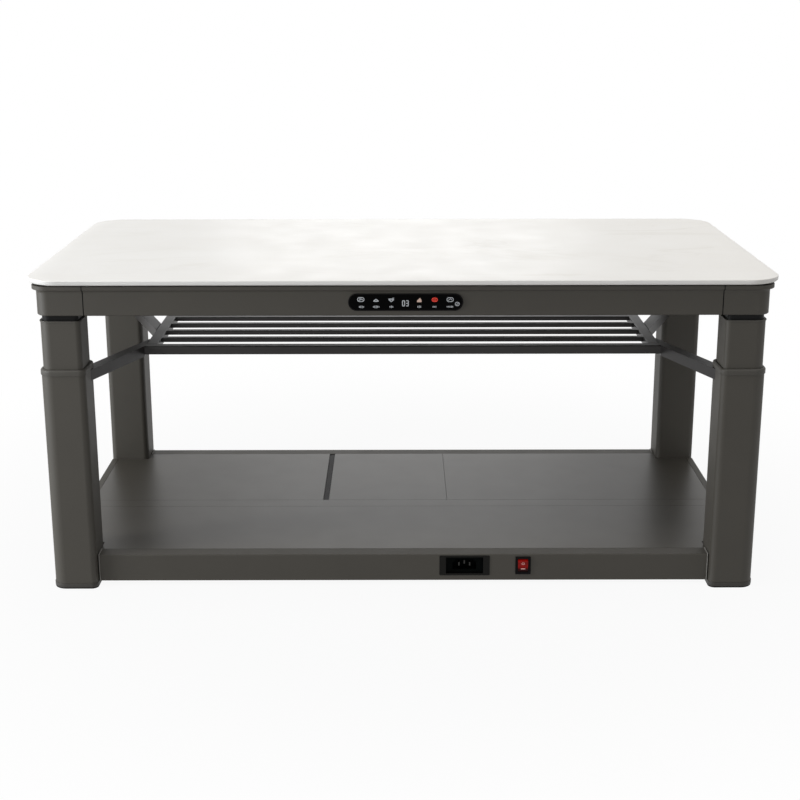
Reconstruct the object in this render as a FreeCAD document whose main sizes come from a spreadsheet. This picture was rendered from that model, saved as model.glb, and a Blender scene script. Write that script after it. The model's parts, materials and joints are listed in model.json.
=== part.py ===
import FreeCAD, Part
import Sketcher
import math
import os

# Heated lifting table: a stone top on four telescopic legs, with a slatted rack and a foot platform.
# The origin is on the floor under the middle of the table. X runs left to right, Y runs from
# front to back, Z runs up. Lengths are in millimetres and angles in degrees.

# Driving sizes. Each one is set here once and goes into the spreadsheet under the same name.
SIZES = {
    # Top slab
    "table_height": 525.0,
    "slab_length": 1200.0,
    "slab_width": 640.0,
    "slab_thickness": 8.0,
    "slab_corner_radius": 57.0,
    "slab_edge": 1.3,
    "cushion_height": 2.5,
    "cushion_width": 12.0,
    "cushion_inset": 8.0,
    "cushion_end_gap": 5.0,
    # Frame under the slab: apron rails and corner castings
    "leg_overhang": 16.0,
    "frame_height": 49.0,
    "frame_wall": 2.5,
    "lip_reach": 6.5,
    "lip_height": 7.3,
    "lip_cove_radius": 5.2,
    "lip_edge": 0.8,
    "frame_bottom_edge": 1.2,
    "top_flange_width": 30.0,
    "top_flange_thickness": 3.0,
    "bottom_flange_width": 14.0,
    "corner_block_length": 77.0,
    "seam_gap": 0.8,
    "socket_clearance": 0.2,
    "socket_top_plate": 6.5,
    "tongue_length": 30.0,
    "tongue_thickness": 4.0,
    "tongue_height": 32.0,
    "tongue_root": 6.0,
    "bolt_across_flats": 10.0,
    "bolt_head_height": 4.0,
    "bolt_end_distance": 7.5,
    "bolt_spacing": 15.0,
    "beam_width": 40.0,
    "beam_height": 25.0,
    "beam_wall": 1.5,
    "beam_inner_x": 120.0,
    "beam_leg_gap": 120.0,
    # Touch panel
    "panel_offset": 3.9,
    "panel_length": 182.0,
    "panel_height": 27.6,
    "panel_centre_height": 21.9,
    "panel_rim": 1.8,
    "panel_proud": 2.4,
    "panel_flange_overlap": 2.0,
    "panel_clearance": 0.2,
    "panel_neck_depth": 7.0,
    "panel_glass_thickness": 1.4,
    "panel_glass_recess": 0.2,
    "panel_box_length": 166.0,
    "panel_box_height": 22.0,
    "panel_box_depth": 12.0,
    "panel_box_round": 4.0,
    # Leg section and stages
    "leg_side": 73.0,
    "leg_big_radius": 21.0,
    "leg_small_radius": 10.0,
    "leg_wall": 2.2,
    "foot_flange": 1.0,
    "foot_bottom_edge": 1.5,
    "foot_plug_height": 10.0,
    "collar_height": 10.0,
    "collar_proud": 1.4,
    "collar_edge": 2.0,
    "collar_sleeve": 45.0,
    "stage_gap": 1.3,
    "stage_clearance": 0.4,
    "middle_small_radius": 8.0,
    "middle_wall": 2.0,
    "middle_rise": 77.2,
    "rim_height": 2.5,
    "rim_proud": 1.2,
    "rim_edge": 0.8,
    "rim_sleeve": 30.0,
    "inner_gap": 1.0,
    "inner_clearance": 0.35,
    "inner_rise": 9.2,
    "inner_small_radius": 7.0,
    "inner_wall": 2.5,
    "middle_lift_down": 70.0,
    "top_lift_down": 7.0,
    "stage_floor_gap": 3.9,
    # Lift actuators
    "actuator_radius": 17.0,
    "actuator_foot_radius": 24.0,
    "actuator_foot_height": 8.0,
    "rod_radius": 10.0,
    "rod_clearance": 0.4,
    # Heaters under the slab
    "pan_length": 300.0,
    "pan_side_gap": 5.0,
    "pan_depth": 18.5,
    "pan_wall": 1.2,
    "pan_brim": 2.0,
    "pan_brim_grip": 28.0,
    "grille_end_overlap": 8.0,
    "grille_side_overlap": 22.0,
    "grille_height": 8.0,
    "grille_face": 1.5,
    "grille_wall": 1.5,
    "grille_end_bar": 23.0,
    "grille_middle_bar": 14.0,
    "element_radius": 5.0,
    "element_cap_radius": 7.0,
    "element_cap_length": 14.0,
    "element_drop": 10.0,
    # Rack
    "rack_drop": 1.6,
    "rack_leg_gap": 60.5,
    "rack_front_y": -92.0,
    "rack_rear_gap": 10.0,
    "rack_rail_width": 20.0,
    "rack_rail_height": 15.0,
    "rack_rail_wall": 1.5,
    "rack_rail_round": 2.0,
    "slat_width": 14.0,
    "slat_height": 7.5,
    "slat_round": 1.5,
    "arm_height": 18.0,
    "arm_wrap_side": 26.0,
    "arm_wrap_back": 13.0,
    "arm_seat": 58.0,
    # Foot platform
    "base_clearance": 8.5,
    "base_height": 46.0,
    "base_setback": 14.5,
    "base_wall": 2.0,
    "base_edge_round": 1.5,
    "front_top_width": 27.5,
    "side_top_width": 12.0,
    "ledge_drop": 10.5,
    "ledge_width": 12.0,
    "base_bottom_flange": 20.0,
    "trim_width": 3.0,
    "trim_proud": 1.0,
    "deck_gap": 0.6,
    "deck_sheet": 2.0,
    "deck_fold": 2.0,
    "strip_front_y": -51.5,
    "strip_width": 34.0,
    "channel_x": -142.0,
    "channel_width": 10.0,
    "channel_recess": 1.0,
    "channel_plate": 2.0,
    "rear_seam_x": 82.0,
    "pan_sheet": 1.5,
    "pan_sheet_inset": 8.0,
    "mat_thickness": 3.0,
    "mat_inner_x": 110.0,
    "mat_leg_gap": 20.0,
    "mat_edge": 14.0,
    # Mains inlet, power box and switch
    "inlet_x": 102.5,
    "inlet_frame_length": 84.0,
    "inlet_frame_height": 35.0,
    "inlet_frame_proud": 0.8,
    "inlet_frame_round": 1.5,
    "inlet_flange": 10.8,
    "inlet_edge": 1.6,
    "inlet_box_wall": 1.4,
    "inlet_box_depth": 24.0,
    "inlet_socket_set_in": 5.0,
    "inlet_mouth_length": 40.0,
    "inlet_mouth_height": 19.0,
    "inlet_mouth_corner": 6.0,
    "inlet_mouth_depth": 15.0,
    "pin_length": 9.0,
    "pin_width": 2.0,
    "pin_height": 6.0,
    "pin_spacing": 9.0,
    "earth_pin_rise": 3.5,
    "power_box_leg_gap": 150.0,
    "power_box_length": 180.0,
    "power_box_depth": 90.0,
    "power_box_height": 28.0,
    "power_box_front_gap": 36.0,
    "power_box_round": 4.0,
    "switch_x": 200.4,
    "switch_flange_length": 25.5,
    "switch_flange_height": 31.0,
    "switch_flange_proud": 1.8,
    "switch_flange_round": 1.2,
    "switch_body_length": 22.0,
    "switch_body_height": 27.4,
    "switch_body_depth": 22.0,
    "switch_window_length": 17.2,
    "switch_window_height": 23.4,
    "switch_window_depth": 14.0,
    "rocker_length": 16.4,
    "rocker_reach": 11.2,
    "rocker_back": 3.0,
    "rocker_front": 5.0,
    "rocker_sink": 1.0,
    "rocker_pin_radius": 1.5,
    "rocker_pin_length": 19.6,
    "rocker_pin_clearance": 0.2,
    # One overrun for all cuts
    "overrun": 1.0,
}

# Plain numbers and angles that are no lengths
ROCKER_TILT = 10.0
GRILLE_SLOT_COUNT = 12
GRILLE_SLOT_SHARE = 0.4
SLAT_COUNT = 4
BOLT_SIDES = 6
HALF_TURN = 180.0
QUARTER_TURN = 90.0
TINY_SHARE = 0.0001
# The round ends of a bar stop just short of a half circle, so that its straight sides never vanish
ROUND_END_SHARE = 0.995
# Inside a tube the three small corners are cut straight, by this share of their outer radius
BEVEL_SHARE = 0.5

doc = FreeCAD.newDocument("lifting_table")
sheet = doc.addObject("Spreadsheet::Sheet", "sizes")


class Size:
    """A length that knows its number and the spreadsheet formula that gives it."""

    def __init__(self, number, formula):
        self.number = number
        self.formula = formula

    def join(self, sign, other, number):
        formula = "(" + self.formula + " " + sign + " " + formula_of(other) + ")"
        return Size(number, formula)

    def __add__(self, other):
        return self.join("+", other, self.number + number_of(other))

    def __sub__(self, other):
        return self.join("-", other, self.number - number_of(other))

    def __radd__(self, other):
        return self + other

    def __rsub__(self, other):
        return -self + other

    def __mul__(self, factor):
        return self.join("*", factor, self.number * number_of(factor))

    def __truediv__(self, divisor):
        return self.join("/", divisor, self.number / number_of(divisor))

    def __neg__(self):
        return Size(-self.number, "(0 - " + self.formula + ")")


def number_of(value):
    """Plain number of a size or of a number."""
    return value.number if isinstance(value, Size) else float(value)


def formula_of(value):
    """Spreadsheet formula of a size or of a number."""
    return value.formula if isinstance(value, Size) else repr(float(value))


class SizeTable:
    """Every driving size under its own name."""


def fill_sheet():
    """Write the driving sizes into the spreadsheet and return them as a table of sizes."""
    table = SizeTable()
    for row, (name, number) in enumerate(SIZES.items(), start=1):
        sheet.set("A" + str(row), name)
        sheet.set("B" + str(row), str(number))
        sheet.setAlias("B" + str(row), name)
        setattr(table, name, Size(number, sheet.Name + "." + name))
    doc.recompute()
    return table


dim = fill_sheet()


def bind(thing, property_name, value):
    """Set a property to a number, or bind it to the sheet where the value is a size."""
    if isinstance(value, Size):
        thing.setExpression(property_name, value.formula)
    elif value:
        raise ValueError("a length other than zero has to be a size: " + property_name)


def place(thing, x=0, y=0, z=0, angle=0):
    """Place a sub-part, turned about the upright axis."""
    turn = FreeCAD.Rotation(FreeCAD.Vector(0, 0, 1), angle)
    thing.Placement = FreeCAD.Placement(FreeCAD.Vector(0, 0, 0), turn)
    bind(thing, "Placement.Base.x", x)
    bind(thing, "Placement.Base.y", y)
    bind(thing, "Placement.Base.z", z)


def new_body(label):
    body = doc.addObject("PartDesign::Body", label)
    body.Label = label
    return body


def new_sketch(body, role, offset=0):
    """A sketch on one of the body's own origin planes, moved along the plane's normal."""
    sketch = body.newObject("Sketcher::SketchObject", body.Label + "_sketch")
    planes = [plane for plane in body.Origin.OriginFeatures if plane.Role == role]
    sketch.AttachmentSupport = [(planes[0], "")]
    sketch.MapMode = "FlatFace"
    bind(sketch, "AttachmentOffset.Base.z", offset)
    return sketch


def toward(start, end):
    """Sign of the way from one number to another."""
    gap = end - start
    if abs(gap) <= TINY_SHARE * (abs(start) + abs(end)):
        return 0
    return 1 if gap > 0 else -1


def moved(value, distance, sign):
    """A size moved by a distance in the way that the sign gives."""
    if sign == 0:
        return value
    return value + distance if sign > 0 else value - distance


def pin_point(sketch, geometry, end, x, y):
    """Hold one end of a line at x and y, measured from the sketch's origin."""
    for kind, value in (("DistanceX", x), ("DistanceY", y)):
        rule = Sketcher.Constraint(kind, -1, 1, geometry, end, number_of(value))
        index = sketch.addConstraint(rule)
        if isinstance(value, Size):
            sketch.setExpression("Constraints[" + str(index) + "]", value.formula)


def draw_outline(sketch, corners):
    """Draw a closed outline through corners (x, y) or (x, y, radius of a rounded corner)."""
    count = len(corners)
    spots = [(number_of(corner[0]), number_of(corner[1])) for corner in corners]
    enter = []
    leave = []
    for index, corner in enumerate(corners):
        before = spots[index - 1]
        here = spots[index]
        after = spots[(index + 1) % count]
        if len(corner) == 2:
            enter.append((corner[0], corner[1]))
            leave.append((corner[0], corner[1]))
            continue
        radius = corner[2]
        enter.append((moved(corner[0], radius, toward(here[0], before[0])),
                      moved(corner[1], radius, toward(here[1], before[1]))))
        leave.append((moved(corner[0], radius, toward(here[0], after[0])),
                      moved(corner[1], radius, toward(here[1], after[1]))))
    first = len(sketch.Geometry)
    for index in range(count):
        start = leave[index]
        end = enter[(index + 1) % count]
        line = Part.LineSegment(FreeCAD.Vector(number_of(start[0]), number_of(start[1]), 0),
                                FreeCAD.Vector(number_of(end[0]), number_of(end[1]), 0))
        sketch.addGeometry(line, False)
    for index, corner in enumerate(corners):
        line_in = first + (index - 1) % count
        line_out = first + index
        pin_point(sketch, line_out, 1, leave[index][0], leave[index][1])
        if len(corner) == 2:
            sketch.addConstraint(Sketcher.Constraint("Coincident", line_in, 2, line_out, 1))
            continue
        pin_point(sketch, line_in, 2, enter[index][0], enter[index][1])
        round_corner(sketch, line_in, line_out, enter[index], leave[index], corner)


def round_corner(sketch, line_in, line_out, start, end, corner):
    """Join two lines at right angles with an arc of the corner's radius."""
    radius = number_of(corner[2])
    tip = FreeCAD.Vector(number_of(corner[0]), number_of(corner[1]), 0)
    near = FreeCAD.Vector(number_of(start[0]), number_of(start[1]), 0)
    far = FreeCAD.Vector(number_of(end[0]), number_of(end[1]), 0)
    centre = near + far - tip
    turns_left = (tip - near).cross(far - tip).z > 0
    arc_start, arc_end = (near, far) if turns_left else (far, near)
    first_angle = math.atan2(arc_start.y - centre.y, arc_start.x - centre.x)
    last_angle = math.atan2(arc_end.y - centre.y, arc_end.x - centre.x)
    circle = Part.Circle(centre, FreeCAD.Vector(0, 0, 1), radius)
    arc = sketch.addGeometry(Part.ArcOfCircle(circle, first_angle, last_angle), False)
    start_end, end_end = (1, 2) if turns_left else (2, 1)
    sketch.addConstraint(Sketcher.Constraint("Coincident", line_in, 2, arc, start_end))
    sketch.addConstraint(Sketcher.Constraint("Coincident", line_out, 1, arc, end_end))
    index = sketch.addConstraint(Sketcher.Constraint("Radius", arc, radius))
    sketch.setExpression("Constraints[" + str(index) + "]", corner[2].formula)


def rectangle(sketch, left, bottom, right, top, radius=None):
    """Draw a rectangle between two corners, with rounded corners where a radius is given."""
    corners = [(left, bottom), (right, bottom), (right, top), (left, top)]
    if radius is not None:
        corners = [corner + (radius,) for corner in corners]
    draw_outline(sketch, corners)


def leg_section(sketch, half_side, big_radius, small_radius):
    """Draw the leg's section: a square with one large corner that faces out of the table."""
    draw_outline(sketch, [(-half_side, -half_side, big_radius),
                          (half_side, -half_side, small_radius),
                          (half_side, half_side, small_radius),
                          (-half_side, half_side, small_radius)])


def hidden_leg_section(sketch, half_side, big_radius, small_radius):
    """Draw the leg's section as it is inside the tubes, with three straight-cut corners."""
    cut = small_radius * BEVEL_SHARE
    near = half_side - cut
    draw_outline(sketch, [(-half_side, -half_side, big_radius),
                          (near, -half_side), (half_side, -near),
                          (half_side, near), (near, half_side),
                          (-near, half_side), (-half_side, near)])


def add_pad(body, sketch, length, both_ways=False, other_way=False):
    pad = body.newObject("PartDesign::Pad", body.Label + "_pad")
    pad.Profile = sketch
    pad.SideType = "Symmetric" if both_ways else "One side"
    pad.Reversed = other_way
    bind(pad, "Length", length)
    return pad


def add_pocket(body, sketch, depth, both_ways=False, other_way=False):
    """Cut a sketch out of the body and check that the cut takes material away."""
    doc.recompute()
    volume_before = body.Shape.Volume
    pocket = body.newObject("PartDesign::Pocket", body.Label + "_pocket")
    pocket.Profile = sketch
    pocket.SideType = "Symmetric" if both_ways else "One side"
    pocket.Reversed = other_way
    bind(pocket, "Length", depth)
    doc.recompute()
    if not body.Shape.Volume < volume_before:
        raise RuntimeError("a cut took nothing away from " + body.Label)
    return pocket


def edge_names(body, wanted):
    """Names of the edges of the body's newest shape that the test picks."""
    doc.recompute()
    names = []
    for index, edge in enumerate(body.Tip.Shape.Edges, start=1):
        if wanted(edge.BoundBox):
            names.append("Edge" + str(index))
    if not names:
        raise RuntimeError("no edge found to round on " + body.Label)
    return names


def add_fillet(body, wanted, radius):
    names = edge_names(body, wanted)
    base = body.Tip
    fillet = body.newObject("PartDesign::Fillet", body.Label + "_fillet")
    fillet.Base = (base, names)
    bind(fillet, "Radius", radius)
    doc.recompute()
    return fillet


def add_chamfer(body, wanted, cut):
    names = edge_names(body, wanted)
    base = body.Tip
    chamfer = body.newObject("PartDesign::Chamfer", body.Label + "_chamfer")
    chamfer.Base = (base, names)
    bind(chamfer, "Size", cut)
    doc.recompute()
    return chamfer


def same(first, second):
    """True where two numbers are the same length, within a rounding error."""
    return abs(first - number_of(second)) < number_of(dim.overrun) * TINY_SHARE


def level(box, height):
    """True where an edge's box lies flat at a height."""
    return same(box.ZMin, height) and same(box.ZMax, height)


def group(label, members):
    """One node that holds several like pieces as separate solids."""
    compound = doc.addObject("Part::Compound", label)
    compound.Label = label
    compound.Links = members
    return compound


# Heights and half sizes that follow from the driving sizes
slab_bottom = dim.table_height - dim.slab_thickness
frame_top = slab_bottom - dim.cushion_height
frame_bottom = frame_top - dim.frame_height
lip_bottom = frame_top - dim.lip_height
face_x = dim.slab_length / 2 - dim.leg_overhang
face_y = dim.slab_width / 2 - dim.leg_overhang
leg_half = dim.leg_side / 2
leg_x = face_x - leg_half
leg_y = face_y - leg_half
leg_inner_x = face_x - dim.leg_side
leg_inner_y = face_y - dim.leg_side
foot_top = dim.base_clearance - dim.deck_gap
middle_top = frame_bottom - dim.inner_rise - dim.rim_height
collar_top = middle_top - dim.middle_rise
collar_bottom = collar_top - dim.collar_height
middle_half = leg_half - dim.leg_wall - dim.stage_gap
inner_half = middle_half - dim.middle_wall - dim.inner_gap
inner_top = frame_top - dim.socket_top_plate

# The sliding stages end just above the foot plug when the table is at its lowest
plug_top = foot_top + dim.foot_plug_height
middle_bottom = plug_top + dim.middle_lift_down + dim.stage_floor_gap
inner_bottom = middle_bottom + dim.top_lift_down
rod_bottom = inner_bottom + dim.actuator_foot_height

# The radii of the nested leg sections follow the lower tube's outer corner
middle_big_radius = dim.leg_big_radius - dim.leg_wall - dim.stage_gap
inner_big_radius = middle_big_radius - dim.middle_wall - dim.inner_gap

# Beams under the slab, and the heater pans between them
beam_top = frame_top - dim.top_flange_thickness
beam_bottom = beam_top - dim.beam_height
beam_outer_x = leg_inner_x - dim.beam_leg_gap
pan_centre = (dim.beam_inner_x + beam_outer_x) / 2
pan_half = (beam_outer_x - dim.beam_inner_x - dim.beam_width) / 2 - dim.pan_side_gap
pan_half_length = dim.pan_length / 2
brim_bottom = beam_bottom - dim.pan_brim

# The four corners: name, side of the table in X and in Y, and turn of the leg's large corner
CORNERS = (
    ("front_left", -1, -1, 0),
    ("front_right", 1, -1, QUARTER_TURN),
    ("rear_right", 1, 1, HALF_TURN),
    ("rear_left", -1, 1, -QUARTER_TURN),
)


def place_at_leg(thing, corner):
    """Place a piece that is drawn about a leg's own axis at one of the four legs."""
    name, side_x, side_y, turn = corner
    place(thing, leg_x * side_x, leg_y * side_y, 0, turn)


def make_slab():
    """The stone top, with rounded corners and softened edges."""
    body = new_body("tabletop_slab")
    sketch = new_sketch(body, "XY_Plane", slab_bottom)
    rectangle(sketch, -dim.slab_length / 2, -dim.slab_width / 2,
              dim.slab_length / 2, dim.slab_width / 2, dim.slab_corner_radius)
    add_pad(body, sketch, dim.slab_thickness)
    add_chamfer(body, lambda box: same(box.ZMax - box.ZMin, 0), dim.slab_edge)
    return body


def make_cushions():
    """Soft strips that bed the slab on the frame and leave a dark line under its edge."""
    lip_x = face_x + dim.lip_reach
    lip_y = face_y + dim.lip_reach
    outer_x = lip_x - dim.cushion_inset
    outer_y = lip_y - dim.cushion_inset
    end_x = face_x - dim.corner_block_length / 2
    end_y = outer_y - dim.cushion_width - dim.cushion_end_gap
    strips = []
    for name, side in (("front", -1), ("rear", 1)):
        body = new_body("cushion_" + name)
        sketch = new_sketch(body, "XY_Plane", frame_top)
        near = outer_y * side
        far = (outer_y - dim.cushion_width) * side
        rectangle(sketch, -end_x, near, end_x, far)
        add_pad(body, sketch, dim.cushion_height)
        strips.append(body)
    for name, side in (("left", -1), ("right", 1)):
        body = new_body("cushion_" + name)
        sketch = new_sketch(body, "XY_Plane", frame_top)
        near = outer_x * side
        far = (outer_x - dim.cushion_width) * side
        rectangle(sketch, near, -end_y, far, end_y)
        add_pad(body, sketch, dim.cushion_height)
        strips.append(body)
    return group("slab_cushion_strips", strips)


def apron_outline(sketch):
    """Section of an apron rail: web, lip with a cove under it, and two inward flanges."""
    wall = dim.frame_wall
    edge = dim.lip_edge
    draw_outline(sketch, [
        (dim.frame_bottom_edge, frame_bottom),
        (dim.bottom_flange_width, frame_bottom),
        (dim.bottom_flange_width, frame_bottom + wall),
        (wall, frame_bottom + wall),
        (wall, frame_top - dim.top_flange_thickness),
        (dim.top_flange_width, frame_top - dim.top_flange_thickness),
        (dim.top_flange_width, frame_top),
        (edge - dim.lip_reach, frame_top),
        (-dim.lip_reach, frame_top - edge),
        (-dim.lip_reach, lip_bottom + edge),
        (edge - dim.lip_reach, lip_bottom),
        (0, lip_bottom, dim.lip_cove_radius),
        (0, frame_bottom + dim.frame_bottom_edge),
    ])


def make_apron(label, length, x, y, turn):
    """An apron rail, drawn as seen from its left end and run along the side of the table."""
    body = new_body(label)
    sketch = new_sketch(body, "YZ_Plane")
    apron_outline(sketch)
    add_pad(body, sketch, length, both_ways=True)
    place(body, x, y, 0, turn)
    return body


def stadium(sketch, centre_x, centre_z, length, height):
    """Draw a bar with round ends."""
    half = height / 2
    draw_outline(sketch, [
        (centre_x - length / 2, centre_z - half, half * ROUND_END_SHARE),
        (centre_x + length / 2, centre_z - half, half * ROUND_END_SHARE),
        (centre_x + length / 2, centre_z + half, half * ROUND_END_SHARE),
        (centre_x - length / 2, centre_z + half, half * ROUND_END_SHARE),
    ])


panel_z = frame_bottom + dim.panel_centre_height
cutout_length = dim.panel_length - dim.panel_flange_overlap * 2
cutout_height = dim.panel_height - dim.panel_flange_overlap * 2


def make_aprons():
    """The four apron rails; the front one has the touch panel's cut-out."""
    long_side = (face_x - dim.corner_block_length - dim.seam_gap) * 2
    short_side = (face_y - dim.corner_block_length - dim.seam_gap) * 2
    front = make_apron("apron_front", long_side, 0, -face_y, 0)
    rear = make_apron("apron_rear", long_side, 0, face_y, HALF_TURN)
    left = make_apron("apron_left", short_side, -face_x, 0, -QUARTER_TURN)
    right = make_apron("apron_right", short_side, face_x, 0, QUARTER_TURN)
    sketch = new_sketch(front, "XZ_Plane")
    stadium(sketch, dim.panel_offset, panel_z, cutout_length, cutout_height)
    add_pocket(front, sketch, (dim.frame_wall + dim.overrun) * 2, both_ways=True)
    return [front, rear, left, right]


def make_panel_bezel():
    """Cup-shaped bezel of the touch panel: a thin rim on the apron and a neck through it."""
    body = new_body("control_panel_bezel")
    flange = new_sketch(body, "XZ_Plane", face_y)
    stadium(flange, dim.panel_offset, panel_z, dim.panel_length, dim.panel_height)
    add_pad(body, flange, dim.panel_proud)
    neck = new_sketch(body, "XZ_Plane", face_y)
    stadium(neck, dim.panel_offset, panel_z, cutout_length - dim.panel_clearance * 2,
            cutout_height - dim.panel_clearance * 2)
    add_pad(body, neck, dim.panel_neck_depth, other_way=True)
    cup = new_sketch(body, "XZ_Plane", face_y + dim.panel_proud)
    stadium(cup, dim.panel_offset, panel_z, dim.panel_length - dim.panel_rim * 2,
            dim.panel_height - dim.panel_rim * 2)
    pocket_depth = dim.panel_glass_thickness + dim.panel_glass_recess
    add_pocket(body, cup, pocket_depth)
    return body


def make_panel_glass():
    """Glossy touch glass that lies in the bezel's cup."""
    body = new_body("control_panel_glass")
    back = dim.panel_proud - dim.panel_glass_recess - dim.panel_glass_thickness
    sketch = new_sketch(body, "XZ_Plane", face_y + back)
    stadium(sketch, dim.panel_offset, panel_z,
            dim.panel_length - dim.panel_rim * 2 - dim.panel_clearance * 2,
            dim.panel_height - dim.panel_rim * 2 - dim.panel_clearance * 2)
    add_pad(body, sketch, dim.panel_glass_thickness)
    return body


def make_panel_housing():
    """Electronics box behind the apron, seated on the back of the bezel."""
    body = new_body("control_panel_housing")
    back = face_y - dim.panel_neck_depth
    sketch = new_sketch(body, "XZ_Plane", back)
    half_length = dim.panel_box_length / 2
    half_height = dim.panel_box_height / 2
    rectangle(sketch, dim.panel_offset - half_length, panel_z - half_height,
              dim.panel_offset + half_length, panel_z + half_height, dim.panel_box_round)
    add_pad(body, sketch, dim.panel_box_depth, other_way=True)
    return body


def make_corner_block(corner):
    """Corner casting: carries the apron's section round the corner and takes the inner tube."""
    body = new_body("corner_block_" + corner[0])
    outer = -leg_half
    inner = dim.corner_block_length - leg_half
    big = dim.leg_big_radius
    base = new_sketch(body, "XY_Plane", frame_bottom)
    draw_outline(base, [(outer, outer, big), (inner, outer), (inner, inner), (outer, inner)])
    add_pad(body, base, dim.frame_height)
    lip = new_sketch(body, "XY_Plane", lip_bottom)
    lip_outer = outer - dim.lip_reach
    draw_outline(lip, [(lip_outer, lip_outer, big + dim.lip_reach), (inner, lip_outer),
                       (inner, inner), (lip_outer, inner)])
    add_pad(body, lip, dim.lip_height)
    add_fillet(body, lambda box: cove_edge(box, outer), dim.lip_cove_radius)
    add_chamfer(body, lambda box: rim_edge(box, lip_outer, frame_top), dim.lip_edge)
    add_chamfer(body, lambda box: rim_edge(box, lip_outer, lip_bottom), dim.lip_edge)
    add_chamfer(body, lambda box: rim_edge(box, outer, frame_bottom), dim.frame_bottom_edge)
    socket = new_sketch(body, "XY_Plane", frame_bottom - dim.overrun)
    hidden_leg_section(socket, inner_half + dim.socket_clearance,
                       inner_big_radius + dim.socket_clearance, dim.inner_small_radius)
    socket_depth = inner_top - frame_bottom + dim.overrun
    add_pocket(body, socket, socket_depth, other_way=True)
    add_tongues(body, outer, inner)
    place_at_leg(body, corner)
    return body


def rim_edge(box, outer, height):
    """True where a flat edge at a height runs along one of the casting's two outer sides."""
    if not level(box, height):
        return False
    on_side = same(box.XMax, outer) and same(box.XMin, outer)
    on_front = same(box.YMax, outer) and same(box.YMin, outer)
    on_corner = same(box.XMin, outer) and same(box.YMin, outer) and box.XMax < 0
    return on_side or on_front or on_corner


def cove_edge(box, outer):
    """True where the lip's underside meets the casting's outer faces."""
    return rim_edge(box, outer, lip_bottom)


def add_tongues(body, outer, inner):
    """Two tongues that run behind the apron webs and take the bolts."""
    low = frame_bottom + (dim.frame_height - dim.tongue_height) / 2
    near = outer + dim.frame_wall
    far = near + dim.tongue_thickness
    first = new_sketch(body, "XY_Plane", low)
    rectangle(first, inner - dim.tongue_root, near, inner + dim.tongue_length, far)
    add_pad(body, first, dim.tongue_height)
    second = new_sketch(body, "XY_Plane", low)
    rectangle(second, near, inner - dim.tongue_root, far, inner + dim.tongue_length)
    add_pad(body, second, dim.tongue_height)


def make_bolt(corner, along_x, step):
    """Hexagon head on a tongue's inner face."""
    head = doc.addObject("Part::Prism", "bolt_head")
    head.Polygon = BOLT_SIDES
    bind(head, "Circumradius", dim.bolt_across_flats / 2 / math.cos(math.pi / BOLT_SIDES))
    bind(head, "Height", dim.bolt_head_height)
    name, side_x, side_y, turn = corner
    along = dim.corner_block_length + dim.bolt_end_distance + dim.bolt_spacing * step
    inward = dim.frame_wall + dim.tongue_thickness
    height = frame_bottom + dim.frame_height / 2
    if along_x:
        head.Placement = FreeCAD.Placement(
            FreeCAD.Vector(0, 0, 0),
            FreeCAD.Rotation(FreeCAD.Vector(0, 0, 1), FreeCAD.Vector(0, -side_y, 0)))
        bind(head, "Placement.Base.x", (face_x - along) * side_x)
        bind(head, "Placement.Base.y", (face_y - inward) * side_y)
    else:
        head.Placement = FreeCAD.Placement(
            FreeCAD.Vector(0, 0, 0),
            FreeCAD.Rotation(FreeCAD.Vector(0, 0, 1), FreeCAD.Vector(-side_x, 0, 0)))
        bind(head, "Placement.Base.x", (face_x - inward) * side_x)
        bind(head, "Placement.Base.y", (face_y - along) * side_y)
    bind(head, "Placement.Base.z", height)
    return head


def make_bolts():
    """All bolt heads that hold the corner castings to the aprons."""
    heads = []
    for corner in CORNERS:
        for along_x in (True, False):
            for step in (0, 1):
                heads.append(make_bolt(corner, along_x, step))
    return group("corner_bolts", heads)


def make_beams():
    """Hollow beams from the front apron to the rear one, which carry the slab and the heaters."""
    beams = []
    for centre in (-beam_outer_x, -dim.beam_inner_x, dim.beam_inner_x, beam_outer_x):
        body = new_body("crossbeam")
        sketch = new_sketch(body, "XZ_Plane")
        left = centre - dim.beam_width / 2
        right = centre + dim.beam_width / 2
        rectangle(sketch, left, beam_bottom, right, beam_top)
        rectangle(sketch, left + dim.beam_wall, beam_bottom + dim.beam_wall,
                  right - dim.beam_wall, beam_top - dim.beam_wall)
        add_pad(body, sketch, (face_y - dim.frame_wall) * 2, both_ways=True)
        beams.append(body)
    return group("crossbeams", beams)


def make_tube(label, corner, bottom, top, half_side, radii, wall):
    """A leg tube, drawn as one section with its hollow and run upwards."""
    big_radius, small_radius = radii
    body = new_body(label)
    sketch = new_sketch(body, "XY_Plane", bottom)
    leg_section(sketch, half_side, big_radius, small_radius)
    hidden_leg_section(sketch, half_side - wall, big_radius - wall, small_radius)
    add_pad(body, sketch, top - bottom)
    place_at_leg(body, corner)
    return body


def make_guide(label, corner, bottom, height, outline, hollow, sleeve):
    """A collar or rim: a flange on a tube's end and a sliding sleeve inside the tube."""
    outer_half, outer_radii, top_edge = outline
    hollow_half, hollow_radii = hollow
    sleeve_half, sleeve_radii, sleeve_length = sleeve
    body = new_body(label)
    flange = new_sketch(body, "XY_Plane", bottom)
    leg_section(flange, outer_half, outer_radii[0], outer_radii[1])
    add_pad(body, flange, height)
    guide = new_sketch(body, "XY_Plane", bottom)
    hidden_leg_section(guide, sleeve_half, sleeve_radii[0], sleeve_radii[1])
    add_pad(body, guide, sleeve_length, other_way=True)
    add_chamfer(body, lambda box: level(box, bottom + height), top_edge)
    opening = new_sketch(body, "XY_Plane", bottom - sleeve_length - dim.overrun)
    hidden_leg_section(opening, hollow_half, hollow_radii[0], hollow_radii[1])
    add_pocket(body, opening, sleeve_length + height + dim.overrun * 2, other_way=True)
    place_at_leg(body, corner)
    return body


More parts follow.
